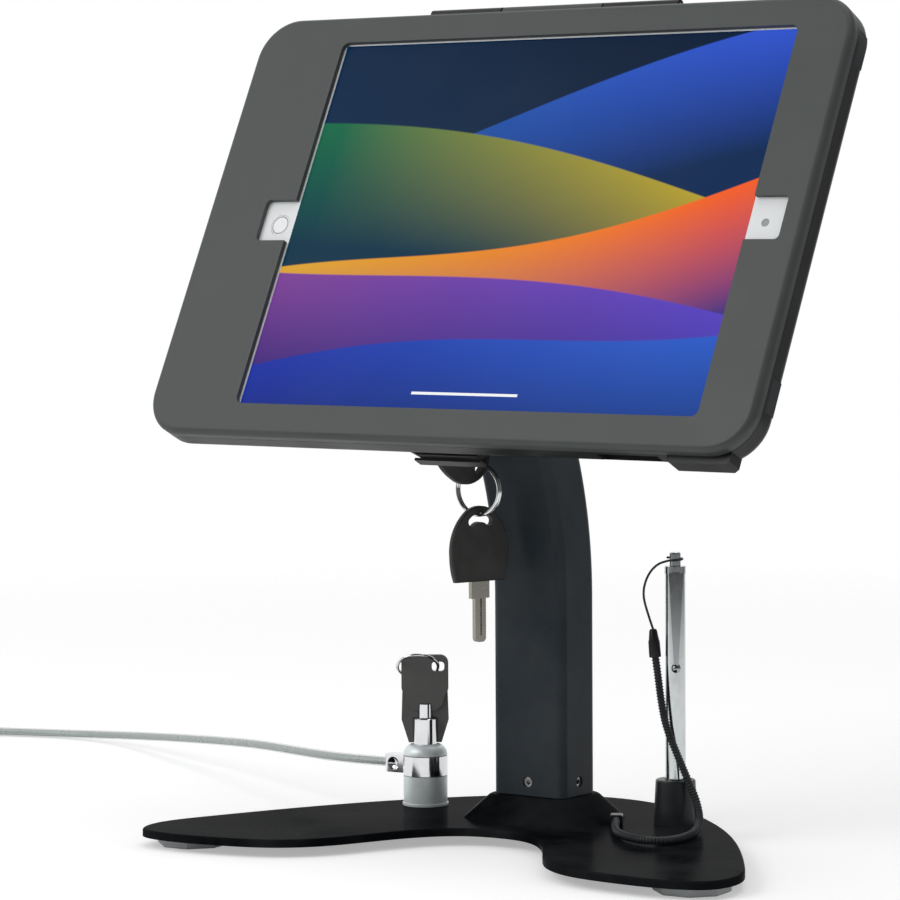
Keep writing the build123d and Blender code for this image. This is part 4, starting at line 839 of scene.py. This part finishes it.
def screen_material():
    """The tablet's front: the lit display inside a white border, both under one clear sheet."""
    material, shader = new_material("tablet_front")
    tree = material.node_tree
    across, up, vector = case_plane(tree, SCREEN_CENTRE, SCREEN_SIZE)
    ground = spread(tree, calc(tree, "ADD", across, up), -GROUND_REACH, GROUND_REACH)
    colour = blend_colours(tree, ground, *SCREEN_GROUND)
    for height, swell, waves, shift, slope, left, right, foot in SCREEN_WAVES:
        wave = add_node(tree, "ShaderNodeGroup", {
            "Across": across, "Up": up, "Height": height, "Swell": swell, "Waves": waves,
            "Shift": shift, "Slope": slope,
        }, node_tree=shared_group("screen_wave")).outputs
        side = spread(tree, across, -CREST_REACH, CREST_REACH)
        body = blend_colours(tree, wave["Depth"], blend_colours(tree, side, left, right), foot)
        colour = blend_colours(tree, wave["Cover"], colour, body)
    bar = screen_box(tree, across, calc(tree, "ADD", up, SCREEN_BAR_DROP), *SCREEN_BAR_HALF)
    colour = blend_colours(tree, bar, colour, SCREEN_BAR_COLOUR)
    lit = screen_box(tree, across, up, *SCREEN_LIT_HALF)
    shown = blend_colours(tree, lit, (0.0, 0.0, 0.0), colour)
    tree.links.new(shown, shader.inputs["Emission Color"])
    shader.inputs["Emission Strength"].default_value = 1.0
    smear = spread(tree, noise(tree, vector, *SMEARS), *SMEAR_BAND)
    border = blend_colours(tree, product(tree, smear, BORDER_SMEAR), BORDER_WHITE, BORDER_GREY)
    tree.links.new(blend_colours(tree, lit, border, SCREEN_DARK), shader.inputs["Base Color"])
    duller = spread(tree, smear, 0.0, 1.0, *SHEET_ROUGHNESS)
    tree.links.new(duller, shader.inputs["Roughness"])
    shader.inputs["Specular IOR Level"].default_value = SHEET_SHEEN
    fine = place_group(material, "moulded_grain", {
        "Colour": (0.8, 0.8, 0.8), "Grain size": 900.0, "Smooth": 0.1, "Rough": 0.2, "Wear": 0.0,
    })
    bump_from(material, fine["Height"], 0.001 * MM, 0.2)


def button_material():
    """The home button: a white disc inside a fine grey ring."""
    material, _ = new_material("home_button_white")
    tree = material.node_tree
    surface = place_group(material, "moulded_grain", {
        "Colour": BUTTON_WHITE, "Grain size": 900.0, "Smooth": 0.12, "Rough": 0.25, "Wear": 0.05,
    })
    across, up, _ = case_plane(tree, BUTTON_CENTRE)
    squares = calc(tree, "ADD", product(tree, across, across), product(tree, up, up))
    distance = calc(tree, "SQRT", squares)
    inner, outer = (
        spread(tree, distance, radius - BUTTON_BLUR, radius + BUTTON_BLUR, 1.0, 0.0)
        for radius in (BUTTON_RING, BUTTON_RING + BUTTON_LINE)
    )
    ring = calc(tree, "SUBTRACT", outer, inner)
    colour = blend_colours(tree, ring, surface["Colour"], BUTTON_GREY)
    dusted(material, colour, surface["Roughness"], 0.03)
    bump_from(material, surface["Height"], 0.002 * MM)


EVEN = (1.0, 1.0, 1.0)
DRAWN_UP = (1.0, 1.0, 0.06)
BUILDERS = {
    "coat_surface": coat_group, "settled_dust": dust_group, "worked_metal": metal_group,
    "moulded_grain": grain_group, "screen_wave": wave_group,
}
COATS = {
    # colour's name on the panel, smooth, rough, peel size, peel depth in mm, sheen, specks, dust
    "frame_coat": ("frame_grey", 0.38, 0.5, 1300.0, 0.02, 0.3, 0.25, 0.04),
    "shell_coat": ("shell_black", 0.34, 0.46, 1300.0, 0.02, 0.3, 0.25, 0.08),
    "column_coat": ("column_slate", 0.26, 0.38, 1100.0, 0.012, 0.1, 0.25, 0.02),
    "base_coat": ("base_black", 0.14, 0.24, 900.0, 0.008, 0.0005, 0.1, 0.005),
}
METALS = {
    # colour or its name on the panel, smooth, rough, stretch of the drawn lines, their depth in
    # mm, bare share, and where it differs the lines' size and the dust
    "zinc_steel": ((0.50, 0.50, 0.49), 0.24, 0.4, EVEN, 0.004, 1.0),
    "polished_chrome": ((0.74, 0.75, 0.76), 0.05, 0.14, EVEN, 0.0006, 1.0),
    "pen_chrome": ((0.60, 0.63, 0.64), 0.09, 0.18, DRAWN_UP, 0.0004, 1.0),
    # the clip is the pen's own chrome, painted darker as shade so that it stands apart from the
    # barrel
    "clip_chrome": ((0.36, 0.38, 0.39), 0.06, 0.14, DRAWN_UP, 0.0004, 1.0),
    "satin_metal": ((0.84, 0.90, 0.91), 0.42, 0.5, (1.0, 1.0, 0.2), 0.0006, 0.5),
    "nickel": ((0.33, 0.315, 0.28), 0.2, 0.36, (0.2, 1.0, 1.0), 0.001, 1.0),
    "blasted_aluminium": ((0.50, 0.51, 0.52), 0.34, 0.44, EVEN, 0.004, 1.0),
    "laid_wires": ("cable", 0.22, 0.42, EVEN, 0.02, 0.5, 900.0, 0.1),
}
GRAINS = {
    # colour or its name on the panel, smooth, rough, grain size, grain depth in mm, wear, and
    # where it differs the dust, sheen and alpha
    "key_plastic": ("key_black", 0.42, 0.6, 1500.0, 0.06, 0.4),
    "grey_key_plastic": ((0.12, 0.12, 0.117), 0.36, 0.52, 1500.0, 0.05, 0.4),
    "cup_plastic": ((0.011, 0.014, 0.016), 0.28, 0.42, 1700.0, 0.02, 0.25),
    "sheath_plastic": ((0.022, 0.026, 0.030), 0.32, 0.48, 1500.0, 0.01, 0.3),
    "foot_rubber": ((0.60, 0.63, 0.635), 0.5, 0.68, 1400.0, 0.05, 0.6, 0.2),
    "pad_foam": ((0.035, 0.037, 0.04), 0.7, 0.85, 2200.0, 0.1, 0.4),
    "lens_grey": ((0.30, 0.32, 0.34), 0.12, 0.2, 900.0, 0.002, 0.1),
    "panel_black": ((0.01, 0.01, 0.012), 0.3, 0.4, 1800.0, 0.05, 0.2),
    "clear_jacket": ("cable", 0.12, 0.3, 900.0, 0.02, 0.3, 0.12, 0.5, 0.22),
}
FINISH_OF = {
    "base_coat": ["base_plate"],
    "cup_plastic": ["pen_cup", "tether_anchor", "column_foot_bush"],
    "foot_rubber": ["front_feet", "rear_foot"],
    "column_coat": ["column_tube", "column_head", "tilt_arm"],
    "shell_coat": ["rear_shell", "rotary_disc", "lock_housing", "keeper_plate"],
    "frame_coat": ["front_frame"],
    "zinc_steel": [
        "swivel_post", "post_bolt", "cup_screw", "tilt_pin", "tilt_nut", "tilt_washers",
        "centre_stud", "swivel_washers", "stud_nut", "hinge_pin", "lock_cam", "lock_tee",
        "locking_tongue", "set_screws", "plate_screws",
    ],
    "satin_metal": ["cable_lock_barrel", "lock_barrel", "eye_ferrule"],
    "polished_chrome": [
        "lock_collar", "cable_key_ring", "key_ring", "cable_key_tube", "lock_plug",
    ],
    "pen_chrome": ["pen_barrel", "pen_cap"],
    "clip_chrome": ["pen_clip"],
    "nickel": ["case_key_blade", "spare_key_blade"],
    "key_plastic": ["case_key_head", "spare_key_head"],
    "grey_key_plastic": ["cable_key_head"],
    "pad_foam": ["case_pads", "cable_spacer"],
    "blasted_aluminium": ["tablet_body"],
    "tablet_front": ["tablet_glass"],
    "panel_black": ["screen_panel"],
    "lens_grey": ["camera_lens"],
    "home_button_white": ["home_button"],
}


def make_finishes(colours):
    """All the finishes, by name."""
    tables = ((COATS, coat_material), (METALS, metal_material), (GRAINS, grain_material))
    for table, maker in tables:
        for name, (colour, *values) in table.items():
            maker(name, getattr(colours, colour) if isinstance(colour, str) else colour, *values)
    button_material()
    screen_material()


def dress(node, material):
    """Give a carried-over piece its finish."""
    NODES[node].data.materials.clear()
    NODES[node].data.materials.append(material)


# The security cable

def half_turn_points(start, radius, heading, rise=0.0):
    """Control points of half a circle that turns left, and where it ends."""
    x, y, z = start
    step = math.pi / COIL_POINTS_PER_HALF
    reach = radius / math.cos(step / 2)
    points = []
    for index in range(COIL_POINTS_PER_HALF):
        angle = (index + 0.5) * step
        points.append((
            x + heading * reach * math.sin(angle),
            y + heading * (radius - reach * math.cos(angle)),
            z + rise * (1 - math.cos(angle)) / 2,
        ))
    return points, (x, y + 2 * heading * radius, z + rise)


def coil_points():
    """Control points of the put-away coil, in the coil's own plan, and where its tail starts."""
    here = (CABLE_LEAD, 0.0, 0.0)
    heading = 1
    points = []
    steps = list(range(COIL_HALF_TURNS_IN + 1))
    steps += [COIL_HALF_TURNS_IN - 1 - index for index in range(COIL_HALF_TURNS_OUT)]
    for order, step in enumerate(steps):
        radius = COIL_OUTER_RADIUS - step * COIL_PITCH / 2
        rise = COIL_PITCH if order == COIL_HALF_TURNS_IN else 0.0
        turn, here = half_turn_points(here, radius, heading, rise)
        points += turn
        heading = -heading
    return points, Vector((here[0] + CABLE_LEAD, here[1], here[2]))


def coil_place():
    """The coil's plan in the world."""
    last, before = Vector(CABLE_ROUTE[-1]), Vector(CABLE_ROUTE[-2])
    along = last - before
    turn = math.atan2(along.y, along.x)
    return STAND_PLACE @ Matrix.Translation(last) @ Matrix.Rotation(turn, 4, "Z")


def cable_line():
    """The whole cable's control points, from the collar's arm to the ferrule."""
    x, y = LOCK_CENTRE
    start = base_point(x - CABLE_ARM_REACH, y, CABLE_HEIGHT)
    second = base_point(x - CABLE_ARM_REACH - CABLE_FIRST_RUN, y, CABLE_HEIGHT)
    free = [STAND_PLACE @ Vector(point) for point in CABLE_ROUTE]
    turns, tail = coil_points()
    place = coil_place()
    end = tail + Vector((TAIL_RUN, 0.0, 0.0))
    low = end + Vector((TAIL_SLOPE, 0.0, -TAIL_DROP))
    last = low + Vector((TAIL_END, 0.0, 0.0))
    wound = [place @ Vector(point) for point in turns]
    return [start, second] + free + wound + [place @ end, place @ low, place @ last], last


def eye_line(start):
    """Control points of the end loop, from one strand round to the other."""
    spread_out = EYE_ENTRY_RADIUS + EYE_STRAND
    between = EYE_ENTRY_RADIUS + EYE_RADIUS
    entry_turn = math.acos(spread_out / between)
    bend = CABLE_LEAD + EYE_ENTRY_RADIUS * math.tan(entry_turn / 2)
    sweep_angle = 2 * (math.pi / 2 + entry_turn)
    step = sweep_angle / EYE_POINTS
    centre = CABLE_LEAD + math.sqrt(between ** 2 - spread_out ** 2)
    radius = EYE_RADIUS / math.cos(step / 2)
    points = [(0.0, EYE_STRAND), (bend, EYE_STRAND)]
    for index in range(EYE_POINTS):
        angle = sweep_angle / 2 - (index + 0.5) * step
        points.append((centre + radius * math.cos(angle), radius * math.sin(angle)))
    points += [(bend, -EYE_STRAND), (0.0, -EYE_STRAND)]
    place = coil_place()
    return [place @ (start + Vector((x, y, 0.0))) for x, y in points]


def laid_cable(name, points, cables):
    """A clear-coated cable along a route: the coat as a curve, the wires as a mesh inside it."""
    followed = followed_line(name + "_line", points)
    coat = smooth_curve(name, points, CABLE_RADIUS)
    coat.data.materials.append(mat("clear_jacket"))
    tree = bpy.data.node_groups.get("laid_strands") or strand_tree()
    wires = grow(name + "_wires", followed, tree, {
        "Radius": CABLE_RADIUS * WIRE_SHARE, "Lobes": cables.strand_lobes,
        "Pitch": cables.strand_pitch, "Step": WIRE_STEP,
    }, mat("laid_wires"))
    for piece in (coat, wires):
        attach(piece, "collar")
    return coat, wires


# The tether

def cap_shape(bm):
    """The tether's cap: a collar, a long taper and a rounded tip."""
    foot = base_point(*TETHER_ROUTE[-1])
    rise = base_point(*CAP_TOP) - foot
    along = rise.normalized()
    side = along.orthogonal().normalized()
    up = along.cross(side)
    skin(bm, [
        ring_of(bm, foot + along * rise.length * share, side, up, radius, CAP_SIDES)
        for share, radius in CAP_PROFILE
    ])


def string_line():
    """Control points of the thin string, from the cap up and once round the pen's nub."""
    points = [base_point(*CAP_TOP)] + [base_point(*point) for point in STRING_ROUTE]
    x, y = CUP_CENTRE
    from_x, from_y, _ = STRING_ROUTE[-1]
    first = math.atan2(from_y - y, from_x - x)
    step = 2 * math.pi / STRING_LOOP_POINTS
    reach = STRING_LOOP_RADIUS / math.cos(step / 2)
    for index in range(STRING_LOOP_POINTS):
        angle = first + (index + STRING_LOOP_START) * step
        height = STRING_LOOP_LOW + STRING_LOOP_CLIMB * index / (STRING_LOOP_POINTS - 1)
        points.append(base_point(x + reach * math.cos(angle), y + reach * math.sin(angle), height))
    return points


# Operators

class KIOSK_OT_camera(bpy.types.Operator):
    """Place the camera at the photograph's angle"""
    bl_idname = "kiosk.camera"
    bl_label = "Camera"

    def execute(self, context):
        sizes = context.scene.kiosk_camera
        azimuth, elevation, roll = sizes.azimuth, sizes.elevation, sizes.roll
        back = Vector((
            math.sin(azimuth) * math.cos(elevation),
            -math.cos(azimuth) * math.cos(elevation),
            math.sin(elevation),
        ))
        level = Vector((math.cos(azimuth), math.sin(azimuth), 0.0))
        upright = back.cross(level)
        right = level * math.cos(roll) + upright * math.sin(roll)
        up = upright * math.cos(roll) - level * math.sin(roll)
        data = bpy.data.cameras.new("camera")
        data.sensor_fit = "HORIZONTAL"
        data.sensor_width = sizes.sensor
        data.lens = sizes.lens
        camera = link("camera", data)
        turn = Matrix((right, up, back)).transposed().to_4x4()
        camera.matrix_world = Matrix.Translation(sizes.place) @ turn
        context.scene.camera = camera
        return {"FINISHED"}


class KIOSK_OT_finishes(bpy.types.Operator):
    """Make the finishes and give every carried-over piece its own"""
    bl_idname = "kiosk.finishes"
    bl_label = "Finishes"

    def execute(self, context):
        make_finishes(context.scene.kiosk_colours)
        for finish, nodes in FINISH_OF.items():
            for node in nodes:
                dress(node, mat(finish))
        return {"FINISHED"}


class KIOSK_OT_security_cable(bpy.types.Operator):
    """Lay the security cable with its wires, its coil and its end loop"""
    bl_idname = "kiosk.security_cable"
    bl_label = "Security cable"

    def execute(self, context):
        cables = context.scene.kiosk_cables
        points, tail = cable_line()
        ferrule_end = tail + Vector((FERRULE_LENGTH, 0.0, 0.0))
        coat, wires = laid_cable("steel_cable", points, cables)
        loop, loop_wires = laid_cable("cable_end_loop", eye_line(ferrule_end), cables)
        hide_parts("security_cable", "cable_coil")
        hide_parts("cable_eye")
        return {"FINISHED"}


class KIOSK_OT_tether(bpy.types.Operator):
    """Lay the pen's ribbed tether with its cap and string"""
    bl_idname = "kiosk.tether"
    bl_label = "Pen tether"

    def execute(self, context):
        cables = context.scene.kiosk_cables
        sheath_points = [base_point(*point) for point in TETHER_ROUTE]
        followed = followed_line("tether_line", sheath_points)
        sheath = grow("ribbed_sheath", followed, rib_tree(), {
            "Core": TETHER_RADIUS - cables.rib_height * RIB_SUNK_SHARE,
            "Rib ring": TETHER_RADIUS - cables.rib_height,
            "Rib radius": cables.rib_height, "Pitch": cables.rib_pitch,
        }, mat("sheath_plastic"))
        cap = mesh_from("sheath_cap", cap_shape, mat("cup_plastic"))
        string_path = followed_line("string_line", string_line())
        thread = tube(string_path, STRING_RADIUS, STRING_SIDES)
        string = mesh_from("tether_cord", thread, mat("sheath_plastic"))
        pieces = ((sheath, "tether_sheath"), (cap, "tether_cap"), (string, "tether_string"))
        for piece, node in pieces:
            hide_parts(node)
            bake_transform(piece)
        return {"FINISHED"}


# The stage

def area_light(name, place, size, power):
    """A soft rectangular light that faces the stand."""
    data = bpy.data.lights.new(name, "AREA")
    data.shape = "RECTANGLE"
    data.size, data.size_y = size
    data.energy = power
    light = link(name, data)
    facing = (Vector(LIGHT_TARGET) - Vector(place)).to_track_quat("-Z", "Y")
    light.matrix_world = Matrix.Translation(place) @ facing.to_matrix().to_4x4()


def seen_directly(tree):
    """One for rays that come straight from the camera or off glossy and clear surfaces."""
    rays = add_node(tree, "ShaderNodeLightPath").outputs
    either = calc(tree, "MAXIMUM", rays["Is Camera Ray"], rays["Is Glossy Ray"])
    return calc(tree, "MAXIMUM", either, rays["Is Transmission Ray"])


def grey(tree, value):
    """A number as a grey colour."""
    channels = {label: value for label in ("Red", "Green", "Blue")}
    return add_node(tree, "ShaderNodeCombineColor", channels).outputs["Color"]


def floor_material():
    """A pale matt floor, lifted to white where it is seen, so that only shadows show."""
    material, shader = new_material("pale_floor")
    tree = material.node_tree
    place = add_node(tree, "ShaderNodeTexCoord").outputs["Object"]
    grain = spread(tree, noise(tree, place, FLOOR_GRAIN), *FLOOR_BAND, *FLOOR_TONE)
    lift = product(tree, seen_directly(tree), FLOOR_LIFT)
    away = add_node(tree, "ShaderNodeVectorMath", {0: place}, operation="LENGTH").outputs["Value"]
    tree.links.new(grey(tree, grain), shader.inputs["Base Color"])
    tree.links.new(grey(tree, lift), shader.inputs["Emission Color"])
    tree.links.new(spread(tree, away, *FLOOR_FADE, 1.0, 0.0), shader.inputs["Alpha"])
    shader.inputs["Roughness"].default_value = 0.9
    shader.inputs["Specular IOR Level"].default_value = 0.0
    shader.inputs["Emission Strength"].default_value = 1.0
    return material


def surround_world(sizes):
    """An even light, seen as white, and seen in gloss as a white sweep behind a darker room."""
    world = bpy.data.worlds.new("surround")
    world.use_nodes = True
    tree = world.node_tree
    background = tree.nodes["Background"]
    background.inputs["Color"].default_value = (1.0, 1.0, 1.0, 1.0)
    rays = add_node(tree, "ShaderNodeLightPath").outputs
    straight = calc(tree, "MAXIMUM", rays["Is Camera Ray"], rays["Is Transmission Ray"])
    place = add_node(tree, "ShaderNodeTexCoord").outputs["Generated"]
    toward = add_node(tree, "ShaderNodeVectorMath", {
        0: place, 1: SWEEP_SIDE,
    }, operation="DOT_PRODUCT").outputs["Value"]
    mirrored = spread(tree, toward, *SWEEP_EDGE, sizes.room, 1.0)
    mirrored = product(tree, rays["Is Glossy Ray"], mirrored)
    white = calc(tree, "MAXIMUM", straight, mirrored)
    unseen = calc(tree, "SUBTRACT", 1.0, seen_directly(tree))
    strength = calc(tree, "ADD", white, product(tree, unseen, sizes.surround))
    tree.links.new(strength, background.inputs["Strength"])
    return world


class KIOSK_OT_stage(bpy.types.Operator):
    """Lay the floor and set the soft lights"""
    bl_idname = "kiosk.stage"
    bl_label = "Stage"

    def execute(self, context):
        sizes = context.scene.kiosk_stage
        half = sizes.floor_size

        def sheet(bm):
            corners = ((-1, -1), (1, -1), (1, 1), (-1, 1))
            bm.faces.new([bm.verts.new((x * half, y * half, -FLOOR_GAP)) for x, y in corners])

        floor = mesh_from("floor", sheet, floor_material(), smooth=False)
        if floor.data.polygons[0].normal.z < 0:
            floor.data.flip_normals()
        for name, place, size, power in LIGHTS:
            area_light(name, place, size, getattr(sizes, power))
        context.scene.world = surround_world(sizes)
        context.scene.view_settings.view_transform = "Standard"
        return {"FINISHED"}


class KIOSK_PT_panel(bpy.types.Panel):
    bl_idname = "KIOSK_PT_panel"
    bl_label = "Tablet kiosk stand"
    bl_space_type = "VIEW_3D"
    bl_region_type = "UI"
    bl_category = "Kiosk"

    def draw(self, context):
        for operator in OPERATORS:
            self.layout.operator(operator.bl_idname)
        for name in GROUPS:
            group = getattr(context.scene, name)
            box = self.layout.box()
            for setting in group.__annotations__:
                box.prop(group, setting)


OPERATORS = [
    KIOSK_OT_camera, KIOSK_OT_finishes, KIOSK_OT_security_cable, KIOSK_OT_tether, KIOSK_OT_stage,
]
GROUPS = {
    "kiosk_camera": KioskCamera, "kiosk_stage": KioskStage,
    "kiosk_cables": KioskCables, "kiosk_colours": KioskColours,
}
CLASSES = list(GROUPS.values()) + OPERATORS + [KIOSK_PT_panel]


def register():
    for item in CLASSES:
        bpy.utils.register_class(item)
    for name, group in GROUPS.items():
        setattr(bpy.types.Scene, name, PointerProperty(type=group))


def unregister():
    for name in GROUPS:
        delattr(bpy.types.Scene, name)
    for item in reversed(CLASSES):
        bpy.utils.unregister_class(item)


def main():
    register()
    bpy.ops.kiosk.camera()
    bpy.ops.kiosk.finishes()
    bpy.ops.kiosk.security_cable()
    bpy.ops.kiosk.tether()
    bpy.ops.kiosk.stage()
    bpy.context.view_layer.update()


if __name__ == "__main__":
    main()
